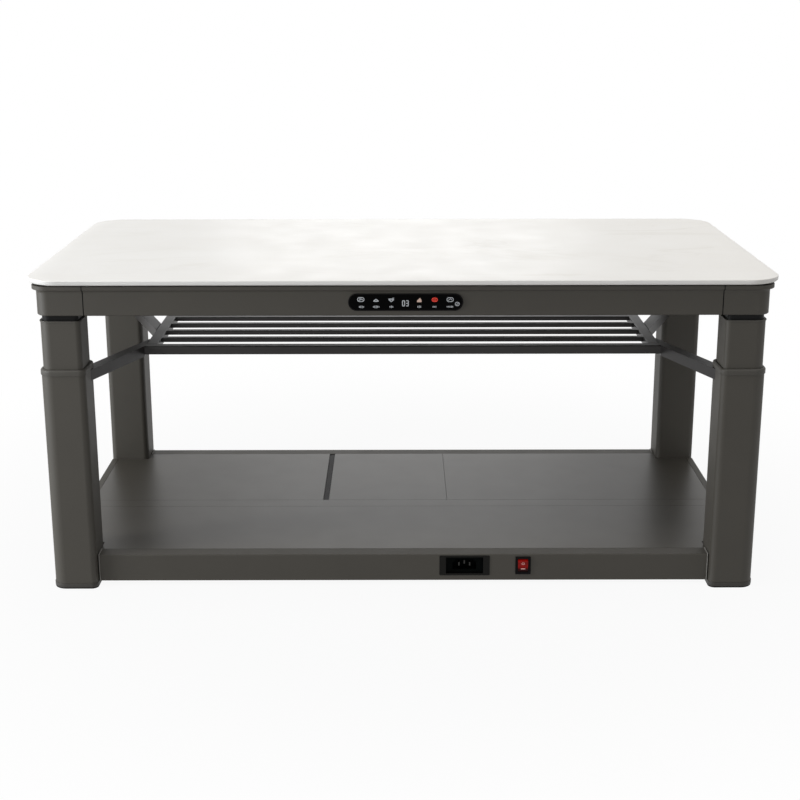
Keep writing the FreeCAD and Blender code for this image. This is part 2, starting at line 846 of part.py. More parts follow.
def make_collar(corner):
    """Collar of a lower tube, with the sleeve that guides the middle tube."""
    proud = dim.collar_proud
    clearance = dim.stage_clearance
    tube_half = leg_half - dim.leg_wall
    outline = (leg_half + proud, (dim.leg_big_radius + proud, dim.leg_small_radius + proud),
               dim.collar_edge)
    hollow = (middle_half + clearance,
              (middle_big_radius + clearance, dim.middle_small_radius))
    sleeve = (tube_half, (dim.leg_big_radius - dim.leg_wall, dim.leg_small_radius),
              dim.collar_sleeve)
    return make_guide("leg_collar_" + corner[0], corner, collar_bottom, dim.collar_height,
                      outline, hollow, sleeve)


def make_rim(corner):
    """Rim of a middle tube, with the sleeve that guides the inner tube."""
    proud = dim.rim_proud
    clearance = dim.inner_clearance
    tube_half = middle_half - dim.middle_wall
    outline = (middle_half + proud, (middle_big_radius + proud, dim.middle_small_radius + proud),
               dim.rim_edge)
    hollow = (inner_half + clearance,
              (inner_big_radius + clearance, dim.inner_small_radius))
    sleeve = (tube_half, (middle_big_radius - dim.middle_wall, dim.middle_small_radius),
              dim.rim_sleeve)
    return make_guide("leg_rim_" + corner[0], corner, middle_top, dim.rim_height,
                      outline, hollow, sleeve)


def make_foot(corner):
    """Foot cap: a slightly wider shoe under the lower tube with a plug inside it."""
    body = new_body("foot_cap_" + corner[0])
    flange = dim.foot_flange
    shoe = new_sketch(body, "XY_Plane")
    leg_section(shoe, leg_half + flange, dim.leg_big_radius + flange,
                dim.leg_small_radius + flange)
    add_pad(body, shoe, foot_top)
    plug = new_sketch(body, "XY_Plane", foot_top)
    clearance = dim.socket_clearance
    hidden_leg_section(plug, leg_half - dim.leg_wall - clearance,
                       dim.leg_big_radius - dim.leg_wall - clearance, dim.leg_small_radius)
    add_pad(body, plug, dim.foot_plug_height)
    add_chamfer(body, lambda box: level(box, 0), dim.foot_bottom_edge)
    place_at_leg(body, corner)
    return body


def spin_profile(body, corners):
    """Turn a profile of radius and height once about the body's upright axis."""
    sketch = new_sketch(body, "XZ_Plane")
    draw_outline(sketch, corners)
    turned = body.newObject("PartDesign::Revolution", body.Label + "_turned")
    turned.Profile = sketch
    turned.ReferenceAxis = (sketch, ["V_Axis"])
    return turned


def make_actuator(corner):
    """Fixed part of a lift actuator: its foot and the tube that the rod rises through."""
    body = new_body("actuator_" + corner[0])
    bottom = plug_top
    top = collar_top
    bore = dim.rod_radius + dim.rod_clearance
    floor = bottom + dim.actuator_foot_height
    spin_profile(body, [
        (0, bottom), (dim.actuator_foot_radius, bottom), (dim.actuator_foot_radius, floor),
        (dim.actuator_radius, floor), (dim.actuator_radius, top),
        (bore, top), (bore, floor), (0, floor),
    ])
    place_at_leg(body, corner)
    return body


def make_rod(corner):
    """Rising rod of a lift actuator, which pushes on the corner casting."""
    body = new_body("rod_" + corner[0])
    spin_profile(body, [
        (0, rod_bottom), (dim.rod_radius, rod_bottom), (dim.rod_radius, inner_top),
        (0, inner_top),
    ])
    place_at_leg(body, corner)
    return body


def make_pan(label, side):
    """Folded reflector pan of a heater, hung under two beams and open downwards."""
    body = new_body(label)
    centre = pan_centre * side
    brim_half = pan_half + dim.pan_brim_grip
    crown = beam_bottom + dim.pan_depth
    brim = new_sketch(body, "XY_Plane", brim_bottom)
    rectangle(brim, centre - brim_half, -pan_half_length - dim.grille_end_overlap,
              centre + brim_half, pan_half_length + dim.grille_end_overlap)
    add_pad(body, brim, dim.pan_brim)
    hat = new_sketch(body, "XY_Plane", beam_bottom)
    rectangle(hat, centre - pan_half, -pan_half_length, centre + pan_half, pan_half_length)
    add_pad(body, hat, dim.pan_depth)
    add_chamfer(body, lambda box: level(box, crown), dim.pan_wall)
    hollow = new_sketch(body, "XY_Plane", brim_bottom - dim.overrun)
    wall = dim.pan_wall
    rectangle(hollow, centre - pan_half + wall, -pan_half_length + wall,
              centre + pan_half - wall, pan_half_length - wall)
    depth = crown - wall - brim_bottom + dim.overrun
    add_pocket(body, hollow, depth, other_way=True)
    return body


def make_grille(label, side):
    """Guard grille under a heater: a shallow folded tray with two rows of slots."""
    body = new_body(label)
    centre = pan_centre * side
    half = pan_half + dim.grille_side_overlap
    half_length = pan_half_length + dim.grille_end_overlap
    bottom = brim_bottom - dim.grille_height
    tray = new_sketch(body, "XY_Plane", bottom)
    rectangle(tray, centre - half, -half_length, centre + half, half_length)
    add_pad(body, tray, dim.grille_height)
    wall = dim.grille_wall
    add_chamfer(body, lambda box: level(box, bottom), wall)
    inside = new_sketch(body, "XY_Plane", bottom + dim.grille_face)
    rectangle(inside, centre - half + wall, -half_length + wall,
              centre + half - wall, half_length - wall)
    add_pocket(body, inside, dim.grille_height, other_way=True)
    pitch = half * 2 / (GRILLE_SLOT_COUNT + 1)
    slot_half = pitch * GRILLE_SLOT_SHARE / 2
    first_x = centre - pitch * (GRILLE_SLOT_COUNT - 1) / 2
    slots = new_sketch(body, "XY_Plane", bottom - dim.overrun)
    for row in (-1, 1):
        near = dim.grille_middle_bar / 2
        far = half_length - dim.grille_end_bar
        rectangle(slots, first_x - slot_half, near * row, first_x + slot_half, far * row)
    cut = add_pocket(body, slots, dim.grille_face + dim.overrun * 2, other_way=True)
    repeat_along_x(body, cut, pitch, GRILLE_SLOT_COUNT)
    return body


def repeat_along_x(body, feature, pitch, count):
    """Repeat a feature along X at a steady pitch."""
    pattern = body.newObject("PartDesign::LinearPattern", body.Label + "_pattern")
    pattern.Originals = [feature]
    axes = [axis for axis in body.Origin.OriginFeatures if axis.Role == "X_Axis"]
    pattern.Direction = (axes[0], [""])
    bind(pattern, "Length", pitch * (count - 1))
    pattern.Occurrences = count
    body.Tip = pattern
    doc.recompute()
    return pattern


def make_elements():
    """Heating tubes of both heaters, held between the end walls of their pans."""
    tubes = []
    half = pan_half_length - dim.pan_wall
    height = beam_bottom + dim.pan_depth - dim.pan_wall - dim.element_drop
    for side in (-1, 1):
        for row in (-1, 1):
            body = new_body("heating_tube")
            cap = half - dim.element_cap_length
            spin_profile(body, [
                (0, -half), (dim.element_cap_radius, -half), (dim.element_cap_radius, -cap),
                (dim.element_radius, -cap), (dim.element_radius, cap),
                (dim.element_cap_radius, cap), (dim.element_cap_radius, half), (0, half),
            ])
            body.Placement = FreeCAD.Placement(
                FreeCAD.Vector(0, 0, 0),
                FreeCAD.Rotation(FreeCAD.Vector(1, 0, 0), QUARTER_TURN))
            bind(body, "Placement.Base.x", pan_centre * side + pan_half / 2 * row)
            bind(body, "Placement.Base.z", height)
            tubes.append(body)
    return group("heating_tubes", tubes)


rack_top = collar_bottom - dim.rack_drop
rack_bottom = rack_top - dim.rack_rail_height
rack_half_length = leg_inner_x - dim.rack_leg_gap
rack_inner_x = rack_half_length - dim.rack_rail_width
rack_rear_y = leg_inner_y - dim.rack_rear_gap
rack_front_back = dim.rack_front_y + dim.rack_rail_width
rack_rear_front = rack_rear_y - dim.rack_rail_width


def make_rack_cross_rail(label, front, back):
    """Front or rear tube of the rack, run across its whole length."""
    body = new_body(label)
    sketch = new_sketch(body, "YZ_Plane")
    rectangle(sketch, front, rack_bottom, back, rack_top, dim.rack_rail_round)
    wall = dim.rack_rail_wall
    rectangle(sketch, front + wall, rack_bottom + wall, back - wall, rack_top - wall)
    add_pad(body, sketch, rack_half_length * 2, both_ways=True)
    return body


def make_rack_side_rail(label, side):
    """Side tube of the rack, between its front and rear tubes."""
    body = new_body(label)
    sketch = new_sketch(body, "XZ_Plane", -rack_rear_front)
    inner = rack_inner_x * side
    outer = rack_half_length * side
    left, right = (outer, inner) if side < 0 else (inner, outer)
    rectangle(sketch, left, rack_bottom, right, rack_top, dim.rack_rail_round)
    wall = dim.rack_rail_wall
    rectangle(sketch, left + wall, rack_bottom + wall, right - wall, rack_top - wall)
    add_pad(body, sketch, rack_rear_front - rack_front_back)
    return body


def make_slats():
    """Slats between the rack's side tubes, with equal gaps."""
    slats = []
    gap = (rack_rear_front - rack_front_back - dim.slat_width * SLAT_COUNT) / (SLAT_COUNT + 1)
    for index in range(SLAT_COUNT):
        body = new_body("rack_slat")
        front = rack_front_back + gap + (gap + dim.slat_width) * index
        sketch = new_sketch(body, "YZ_Plane")
        back = front + dim.slat_width
        low = rack_top - dim.slat_height
        draw_outline(sketch, [(front, low), (back, low), (back, rack_top, dim.slat_round),
                              (front, rack_top, dim.slat_round)])
        add_pad(body, sketch, rack_inner_x * 2, both_ways=True)
        slats.append(body)
    return group("rack_slats", slats)


def make_arms():
    """Slanted arms that wrap the lower tubes' inner corners and carry the rack."""
    arms = []
    seat_near = -dim.rack_front_y
    for name, side_x, side_y, turn in CORNERS:
        body = new_body("rack_arm_" + name)
        sketch = new_sketch(body, "XY_Plane", rack_top - dim.arm_height)
        outline = [
            (leg_inner_x + dim.arm_wrap_back, leg_inner_y),
            (leg_inner_x, leg_inner_y),
            (leg_inner_x, leg_inner_y + dim.arm_wrap_side),
            (rack_half_length, seat_near),
            (rack_half_length, seat_near - dim.arm_seat),
        ]
        draw_outline(sketch, [(x * side_x, y * side_y) for x, y in outline])
        add_pad(body, sketch, dim.arm_height)
        arms.append(body)
    return group("rack_arms", arms)


base_top = dim.base_clearance + dim.base_height
base_face_y = face_y - dim.base_setback
ledge_top = base_top - dim.ledge_drop


def base_rail_outline(sketch, top_width):
    """Section of a platform rail: web, top flange stepped down to a ledge, bottom flange."""
    wall = dim.base_wall
    draw_outline(sketch, [
        (0, dim.base_clearance),
        (dim.base_bottom_flange, dim.base_clearance),
        (dim.base_bottom_flange, dim.base_clearance + wall),
        (wall, dim.base_clearance + wall),
        (wall, base_top - wall),
        (top_width - wall, base_top - wall),
        (top_width - wall, ledge_top - wall),
        (top_width + dim.ledge_width, ledge_top - wall),
        (top_width + dim.ledge_width, ledge_top),
        (top_width, ledge_top),
        (top_width, base_top),
        (0, base_top, dim.base_edge_round),
    ])


def make_base_rail(label, top_width, length, x, y, turn):
    """A platform rail, run along the side of the table."""
    body = new_body(label)
    sketch = new_sketch(body, "YZ_Plane")
    base_rail_outline(sketch, top_width)
    add_pad(body, sketch, length, both_ways=True)
    place(body, x, y, 0, turn)
    return body


inlet_z = dim.base_clearance + dim.base_height / 2 + dim.inlet_edge * 2
inlet_mouth_half = dim.inlet_frame_length / 2 - dim.inlet_flange
inlet_mouth_half_height = dim.inlet_frame_height / 2 - dim.inlet_edge
switch_z = inlet_z


def make_base_rails():
    """The four platform rails; the front one has the inlet's and the switch's cut-outs."""
    long_side = (leg_inner_x - dim.trim_width) * 2
    short_side = leg_inner_y * 2
    front = make_base_rail("base_rail_front", dim.front_top_width, long_side,
                           0, -base_face_y, 0)
    rear = make_base_rail("base_rail_rear", dim.front_top_width, long_side,
                          0, base_face_y, HALF_TURN)
    left = make_base_rail("base_rail_left", dim.side_top_width, short_side,
                          -face_x, 0, -QUARTER_TURN)
    right = make_base_rail("base_rail_right", dim.side_top_width, short_side,
                           face_x, 0, QUARTER_TURN)
    depth = (dim.base_wall + dim.overrun) * 2
    inlet = new_sketch(front, "XZ_Plane")
    box_half = inlet_mouth_half + dim.inlet_box_wall + dim.socket_clearance
    box_half_height = inlet_mouth_half_height + dim.socket_clearance
    rectangle(inlet, dim.inlet_x - box_half, inlet_z - box_half_height,
              dim.inlet_x + box_half, inlet_z + box_half_height)
    add_pocket(front, inlet, depth, both_ways=True)
    switch = new_sketch(front, "XZ_Plane")
    body_half = dim.switch_body_length / 2 + dim.socket_clearance
    body_half_height = dim.switch_body_height / 2 + dim.socket_clearance
    rectangle(switch, dim.switch_x - body_half, switch_z - body_half_height,
              dim.switch_x + body_half, switch_z + body_half_height)
    add_pocket(front, switch, depth, both_ways=True)
    return [front, rear, left, right]


def make_trims():
    """Slim upright trims between the platform's long rails and the legs."""
    trims = []
    for name, side_x, side_y, turn in CORNERS:
        body = new_body("trim_" + name)
        sketch = new_sketch(body, "XY_Plane", dim.base_clearance)
        outer = base_face_y + dim.trim_proud
        rectangle(sketch, (leg_inner_x - dim.trim_width) * side_x, outer * side_y,
                  leg_inner_x * side_x, (base_face_y - dim.front_top_width) * side_y)
        add_pad(body, sketch, dim.base_height + dim.trim_proud)
        trims.append(body)
    return group("fascia_end_trims", trims)


deck_front_y = -base_face_y + dim.front_top_width + dim.deck_gap
deck_rear_y = base_face_y - dim.front_top_width - dim.deck_gap
deck_side_x = face_x - dim.side_top_width - dim.deck_gap
notch_x = leg_inner_x - dim.deck_gap
notch_y = leg_inner_y - dim.deck_gap
strip_rear_y = dim.strip_front_y + dim.strip_width


def fold_tray(body, outline, inside):
    """A folded panel: a top sheet with a skirt that stands on the ledges."""
    sketch = new_sketch(body, "XY_Plane", ledge_top)
    draw_outline(sketch, outline)
    add_pad(body, sketch, base_top - ledge_top)
    hollow = new_sketch(body, "XY_Plane", ledge_top - dim.overrun)
    draw_outline(hollow, inside)
    add_pocket(body, hollow, dim.ledge_drop - dim.deck_sheet + dim.overrun, other_way=True)


def make_front_deck():
    """Large front panel over the heating mats, notched round the front legs."""
    body = new_body("deck_panel_front")
    rear = dim.strip_front_y - dim.deck_gap
    fold = dim.deck_fold
    outline = [(-notch_x, deck_front_y), (notch_x, deck_front_y), (notch_x, -notch_y),
               (deck_side_x, -notch_y), (deck_side_x, rear), (-deck_side_x, rear),
               (-deck_side_x, -notch_y), (-notch_x, -notch_y)]
    inside = [(-notch_x + fold, deck_front_y + fold), (notch_x - fold, deck_front_y + fold),
              (notch_x - fold, -notch_y + fold), (deck_side_x - fold, -notch_y + fold),
              (deck_side_x - fold, rear - fold), (-deck_side_x + fold, rear - fold),
              (-deck_side_x + fold, -notch_y + fold), (-notch_x + fold, -notch_y + fold)]
    fold_tray(body, outline, inside)
    return body


def make_rear_corner_deck(label, inner_x, side):
    """Rear panel beside a side rail, notched round the rear leg."""
    body = new_body(label)
    front = strip_rear_y + dim.deck_gap
    fold = dim.deck_fold
    inner = inner_x
    inner_fold = inner_x + fold * side
    outline = [(inner, front), (deck_side_x * side, front), (deck_side_x * side, notch_y),
               (notch_x * side, notch_y), (notch_x * side, deck_rear_y), (inner, deck_rear_y)]
    inside = [(inner_fold, front + fold), ((deck_side_x - fold) * side, front + fold),
              ((deck_side_x - fold) * side, notch_y - fold),
              ((notch_x - fold) * side, notch_y - fold),
              ((notch_x - fold) * side, deck_rear_y - fold), (inner_fold, deck_rear_y - fold)]
    fold_tray(body, outline, inside)
    return body


def make_rear_middle_deck():
    """Rear panel between the dark channel and the thin seam."""
    body = new_body("deck_panel_rear_middle")
    front = strip_rear_y + dim.deck_gap
    left = dim.channel_x + dim.channel_width / 2 + dim.deck_gap / 2
    right = dim.rear_seam_x - dim.deck_gap
    fold = dim.deck_fold
    outline = [(left, front), (right, front), (right, deck_rear_y), (left, deck_rear_y)]
    inside = [(left + fold, front + fold), (right - fold, front + fold),
              (right - fold, deck_rear_y - fold), (left + fold, deck_rear_y - fold)]
    fold_tray(body, outline, inside)
    return body


def make_channel_strip():
    """Dark strip that covers the channel between two rear panels."""
    body = new_body("deck_channel_strip")
    half = dim.channel_width / 2 - dim.deck_gap / 2
    plate = new_sketch(body, "XY_Plane", base_top - dim.channel_recess - dim.channel_plate)
    rectangle(plate, dim.channel_x - half, strip_rear_y + dim.deck_gap,
              dim.channel_x + half, deck_rear_y)
    add_pad(body, plate, dim.channel_plate)
    web = new_sketch(body, "XY_Plane", ledge_top)
    rectangle(web, dim.channel_x - dim.channel_plate / 2, strip_rear_y + dim.deck_gap,
              dim.channel_x + dim.channel_plate / 2, deck_rear_y)
    add_pad(body, web, dim.ledge_drop - dim.channel_recess)
    return body


pan_sheet_bottom = dim.base_clearance + dim.base_wall
pan_sheet_top = pan_sheet_bottom + dim.pan_sheet


def make_joist():
    """Joist across the platform: its top is the cross strip, its ledges carry the panels."""
    body = new_body("deck_cross_strip")
    front = dim.strip_front_y
    rear = strip_rear_y
    wall = dim.base_wall
    ledge = dim.ledge_width
    sketch = new_sketch(body, "YZ_Plane")
    draw_outline(sketch, [
        (front, pan_sheet_top), (front + wall, pan_sheet_top),
        (front + wall, base_top - wall), (rear - wall, base_top - wall),
        (rear - wall, pan_sheet_top), (rear, pan_sheet_top),
        (rear, ledge_top - wall), (rear + ledge, ledge_top - wall),
        (rear + ledge, ledge_top), (rear, ledge_top), (rear, base_top),
        (front, base_top), (front, ledge_top), (front - ledge, ledge_top),
        (front - ledge, ledge_top - wall), (front, ledge_top - wall),
    ])
    add_pad(body, sketch, deck_side_x * 2, both_ways=True)
    side_ledge = deck_side_x - dim.ledge_width
    ends = new_sketch(body, "XZ_Plane")
    for side in (-1, 1):
        rectangle(ends, side_ledge * side, pan_sheet_top - dim.overrun,
                  (deck_side_x + dim.overrun) * side, ledge_top)
    add_pocket(body, ends, (ledge - front + dim.overrun) * 2, both_ways=True)
    return body


def make_bottom_pan():
    """Sheet that closes the platform below, notched round the legs and the end trims."""
    body = new_body("bottom_pan")
    long_x = leg_inner_x - dim.trim_width - dim.deck_gap
    out_x = face_x - dim.pan_sheet_inset
    out_y = base_face_y - dim.pan_sheet_inset
    sketch = new_sketch(body, "XY_Plane", pan_sheet_bottom)
    draw_outline(sketch, [
        (-long_x, -out_y), (long_x, -out_y), (long_x, -notch_y), (out_x, -notch_y),
        (out_x, notch_y), (long_x, notch_y), (long_x, out_y), (-long_x, out_y),
        (-long_x, notch_y), (-out_x, notch_y), (-out_x, -notch_y), (-long_x, -notch_y),
    ])
    add_pad(body, sketch, dim.pan_sheet)
    return body


def make_mats():
    """Heating mats on the underside of the front deck panel."""
    mats = []
    top = base_top - dim.deck_sheet
    for side in (-1, 1):
        body = new_body("heating_mat")
        sketch = new_sketch(body, "XY_Plane", top - dim.mat_thickness)
        rectangle(sketch, dim.mat_inner_x * side, deck_front_y + dim.mat_edge,
                  (leg_inner_x - dim.mat_leg_gap) * side, dim.strip_front_y - dim.mat_edge)
        add_pad(body, sketch, dim.mat_thickness)
        mats.append(body)
    return group("foot_heating_mats", mats)


def make_power_box():
    """Power board box on the bottom pan, behind the inlet and the switch."""
    body = new_body("power_board_box")
    right = leg_inner_x - dim.power_box_leg_gap
    front = -base_face_y + dim.power_box_front_gap
    sketch = new_sketch(body, "XY_Plane", pan_sheet_top)
    rectangle(sketch, right - dim.power_box_length, front, right,
              front + dim.power_box_depth, dim.power_box_round)
    add_pad(body, sketch, dim.power_box_height)
    return body


def make_inlet_frame():
    """Frame of the mains inlet: two side flanges, and a deep box through the fascia."""
    body = new_body("inlet_frame")
    half = dim.inlet_frame_length / 2
    half_height = dim.inlet_frame_height / 2
    plate = new_sketch(body, "XZ_Plane", base_face_y)
    rectangle(plate, dim.inlet_x - half, inlet_z - half_height,
              dim.inlet_x + half, inlet_z + half_height, dim.inlet_frame_round)
    add_pad(body, plate, dim.inlet_frame_proud)
    box = new_sketch(body, "XZ_Plane", base_face_y)
    mouth_half = inlet_mouth_half
    mouth_half_height = inlet_mouth_half_height - dim.inlet_box_wall
    wall = dim.inlet_box_wall
    rectangle(box, dim.inlet_x - mouth_half - wall, inlet_z - mouth_half_height - wall,
              dim.inlet_x + mouth_half + wall, inlet_z + mouth_half_height + wall)
    add_pad(body, box, dim.inlet_box_depth, other_way=True)
    mouth = new_sketch(body, "XZ_Plane", base_face_y + dim.inlet_frame_proud + dim.overrun)
    rectangle(mouth, dim.inlet_x - mouth_half, inlet_z - mouth_half_height,
              dim.inlet_x + mouth_half, inlet_z + mouth_half_height)
    depth = dim.inlet_frame_proud + dim.inlet_box_depth - wall + dim.overrun
    add_pocket(body, mouth, depth)
    return body


def inlet_mouth(sketch):
    """Outline of the inlet's recess: a bar with two cut upper corners."""
    half = dim.inlet_mouth_length / 2
    half_height = dim.inlet_mouth_height / 2
    cut = dim.inlet_mouth_corner
    centre = dim.inlet_x
    draw_outline(sketch, [
        (centre - half, inlet_z - half_height), (centre + half, inlet_z - half_height),
        (centre + half, inlet_z + half_height - cut),
        (centre + half - cut, inlet_z + half_height),
        (centre - half + cut, inlet_z + half_height),
        (centre - half, inlet_z + half_height - cut),
    ])


def make_inlet_socket():
    """Inlet insert that fills the back of the frame's box, with the recess for the plug."""
    body = new_body("inlet_socket")
    clearance = dim.socket_clearance
    half = inlet_mouth_half - clearance
    half_height = inlet_mouth_half_height - dim.inlet_box_wall - clearance
    block = new_sketch(body, "XZ_Plane", base_face_y - dim.inlet_socket_set_in)
    rectangle(block, dim.inlet_x - half, inlet_z - half_height,
              dim.inlet_x + half, inlet_z + half_height)
    depth = dim.inlet_box_depth - dim.inlet_box_wall - dim.inlet_socket_set_in
    add_pad(body, block, depth, other_way=True)
    recess = new_sketch(body, "XZ_Plane", base_face_y)
    inlet_mouth(recess)
    add_pocket(body, recess, dim.inlet_mouth_depth + dim.inlet_socket_set_in)
    return body


def make_inlet_pins():
    """Three flat contact pins on the recess's floor."""
    pins = []
    floor = base_face_y - dim.inlet_socket_set_in - dim.inlet_mouth_depth
    for step, rise in ((-1, 0), (0, 1), (1, 0)):
        body = new_body("inlet_pin")
        sketch = new_sketch(body, "XZ_Plane", floor)
        centre_x = dim.inlet_x + dim.pin_spacing * step
        centre_z = inlet_z - dim.earth_pin_rise / 2 + dim.earth_pin_rise * rise
        rectangle(sketch, centre_x - dim.pin_width / 2, centre_z - dim.pin_height / 2,
                  centre_x + dim.pin_width / 2, centre_z + dim.pin_height / 2)
        add_pad(body, sketch, dim.pin_length)
        pins.append(body)
    return group("inlet_pins", pins)


rocker_y = -base_face_y + dim.rocker_sink


def make_switch_housing():
    """Switch housing: flange on the fascia, snap-in body, window and bearing holes."""
    body = new_body("switch_housing")
    half = dim.switch_flange_length / 2
    half_height = dim.switch_flange_height / 2
    flange = new_sketch(body, "XZ_Plane", base_face_y)
    rectangle(flange, dim.switch_x - half, switch_z - half_height,
              dim.switch_x + half, switch_z + half_height, dim.switch_flange_round)
    add_pad(body, flange, dim.switch_flange_proud)
    block = new_sketch(body, "XZ_Plane", base_face_y)
    block_half = dim.switch_body_length / 2
    block_half_height = dim.switch_body_height / 2
    rectangle(block, dim.switch_x - block_half, switch_z - block_half_height,
              dim.switch_x + block_half, switch_z + block_half_height)
    add_pad(body, block, dim.switch_body_depth, other_way=True)
    window = new_sketch(body, "XZ_Plane", base_face_y + dim.switch_flange_proud + dim.overrun)
    window_half = dim.switch_window_length / 2
    window_half_height = dim.switch_window_height / 2
    rectangle(window, dim.switch_x - window_half, switch_z - window_half_height,
              dim.switch_x + window_half, switch_z + window_half_height)
    depth = dim.switch_flange_proud + dim.switch_window_depth + dim.overrun
    add_pocket(body, window, depth)
    bearing = new_sketch(body, "YZ_Plane", dim.switch_x)
    draw_circle(bearing, rocker_y, switch_z, dim.rocker_pin_radius + dim.rocker_pin_clearance)
    bearing_length = dim.rocker_pin_length + dim.rocker_pin_clearance * 2
    add_pocket(body, bearing, bearing_length, both_ways=True)
    return body


def draw_circle(sketch, x, y, radius):
    """Draw a circle whose centre and radius are bound to the sheet."""
    centre = FreeCAD.Vector(number_of(x), number_of(y), 0)
    circle = Part.Circle(centre, FreeCAD.Vector(0, 0, 1), number_of(radius))
    index = sketch.addGeometry(circle, False)
    pin_point(sketch, index, 3, x, y)
    rule = sketch.addConstraint(Sketcher.Constraint("Radius", index, number_of(radius)))
    sketch.setExpression("Constraints[" + str(rule) + "]", radius.formula)


def make_rocker():
    """Rocker: a block with two front facets and round ends, on two moulded pivot pins."""
    body = new_body("switch_rocker")
    reach = dim.rocker_reach
    front = dim.rocker_front
    back = dim.rocker_back
    end = Size(math.sqrt(reach.number ** 2 - front.number ** 2),
               "sqrt(" + reach.formula + " ^ 2 - " + front.formula + " ^ 2)")
    dip = end * math.tan(math.radians(ROCKER_TILT))
    sketch = new_sketch(body, "YZ_Plane")
    draw_outline(sketch, [
        (-front, -end), (back, -end), (back, end), (-front, end), (dip - front, 0),
    ])
    add_pad(body, sketch, dim.rocker_length, both_ways=True)
    pin = new_sketch(body, "YZ_Plane")
    draw_circle(pin, Size(0.0, "0"), Size(0.0, "0"), dim.rocker_pin_radius)
    add_pad(body, pin, dim.rocker_pin_length, both_ways=True)
    body.Placement = FreeCAD.Placement(
        FreeCAD.Vector(0, 0, 0), FreeCAD.Rotation(FreeCAD.Vector(1, 0, 0), ROCKER_TILT))
    bind(body, "Placement.Base.x", dim.switch_x)
    bind(body, "Placement.Base.y", rocker_y)
    bind(body, "Placement.Base.z", switch_z)
    return body


def make_all():
    """Make every sub-part and return those that are written out, one per file."""
    nodes = [make_slab(), make_cushions()]
    nodes += make_aprons()
    nodes += [make_panel_bezel(), make_panel_glass(), make_panel_housing()]
    nodes += [make_corner_block(corner) for corner in CORNERS]
    nodes += [make_bolts(), make_beams()]
    nodes += [group("heater_pans", [make_pan("pan_left", -1), make_pan("pan_right", 1)])]
    nodes += [group("heater_grilles", [make_grille("grille_left", -1),
                                       make_grille("grille_right", 1)])]
    nodes += [make_elements()]
    inner_radii = (inner_big_radius, dim.inner_small_radius)
    inner_tubes = [make_tube("leg_inner_" + corner[0], corner, inner_bottom, inner_top,
                             inner_half, inner_radii, dim.inner_wall)
                   for corner in CORNERS]
    nodes += [group("leg_inner_tubes", inner_tubes)]
    nodes += [group("actuator_rods", [make_rod(corner) for corner in CORNERS])]
    middle_radii = (middle_big_radius, dim.middle_small_radius)
    for corner in CORNERS:
        nodes.append(make_tube("leg_middle_" + corner[0], corner, middle_bottom, middle_top,
                               middle_half, middle_radii, dim.middle_wall))
        nodes.append(make_rim(corner))
    outer_radii = (dim.leg_big_radius, dim.leg_small_radius)
    for corner in CORNERS:
        nodes.append(make_tube("leg_outer_" + corner[0], corner, foot_top, collar_bottom,
                               leg_half, outer_radii, dim.leg_wall))
    nodes += [group("leg_collars", [make_collar(corner) for corner in CORNERS])]
    nodes += [group("foot_caps", [make_foot(corner) for corner in CORNERS])]
    nodes += [group("lift_actuators", [make_actuator(corner) for corner in CORNERS])]
    nodes += [make_rack_cross_rail("rack_rail_front", dim.rack_front_y, rack_front_back),
              make_rack_cross_rail("rack_rail_rear", rack_rear_front, rack_rear_y),
              make_rack_side_rail("rack_rail_left", -1),
              make_rack_side_rail("rack_rail_right", 1)]
    nodes += [make_slats(), make_arms()]
    nodes += make_base_rails()
    nodes += [make_trims(), make_front_deck(), make_joist()]
    channel_left = dim.channel_x - dim.channel_width / 2 - dim.deck_gap / 2
    nodes += [make_rear_corner_deck("deck_panel_rear_left", channel_left, -1),
              make_rear_middle_deck(),
              make_rear_corner_deck("deck_panel_rear_right", dim.rear_seam_x, 1)]
    nodes += [make_channel_strip(), make_bottom_pan(), make_mats(), make_power_box()]
    nodes += [make_inlet_frame(), make_inlet_socket(), make_inlet_pins()]
    nodes += [make_switch_housing(), make_rocker()]
    return nodes


def check_and_write(nodes):
    """Check every object and shape, then write one file for each sub-part."""
    doc.recompute()
    for thing in doc.Objects:
        if "Invalid" in thing.State or "Error" in thing.State:
            raise RuntimeError("failed object: " + thing.Label + " " + str(thing.State))
    for node in nodes:
        if node.Shape.isNull() or not node.Shape.isValid():
            raise RuntimeError("bad shape: " + node.Label)
    os.makedirs("parts", exist_ok=True)
    for node in nodes:
        node.Shape.exportStep("parts/" + node.Label + ".step")
        print(node.Label, len(node.Shape.Solids), "solid(s)", round(node.Shape.Volume))
    print(len(nodes), "nodes")


check_and_write(make_all())
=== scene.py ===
# %% [markdown]
# A heated low table is dressed here: pale stone on a dark painted frame, four telescopic legs, a
# rack under the top and a closed foot platform. The solids come from the imported model and keep
# their places. Pieces whose real edges are rounder than the solids are worked out again below.

# %% Load the frame and measure it
import json
import math

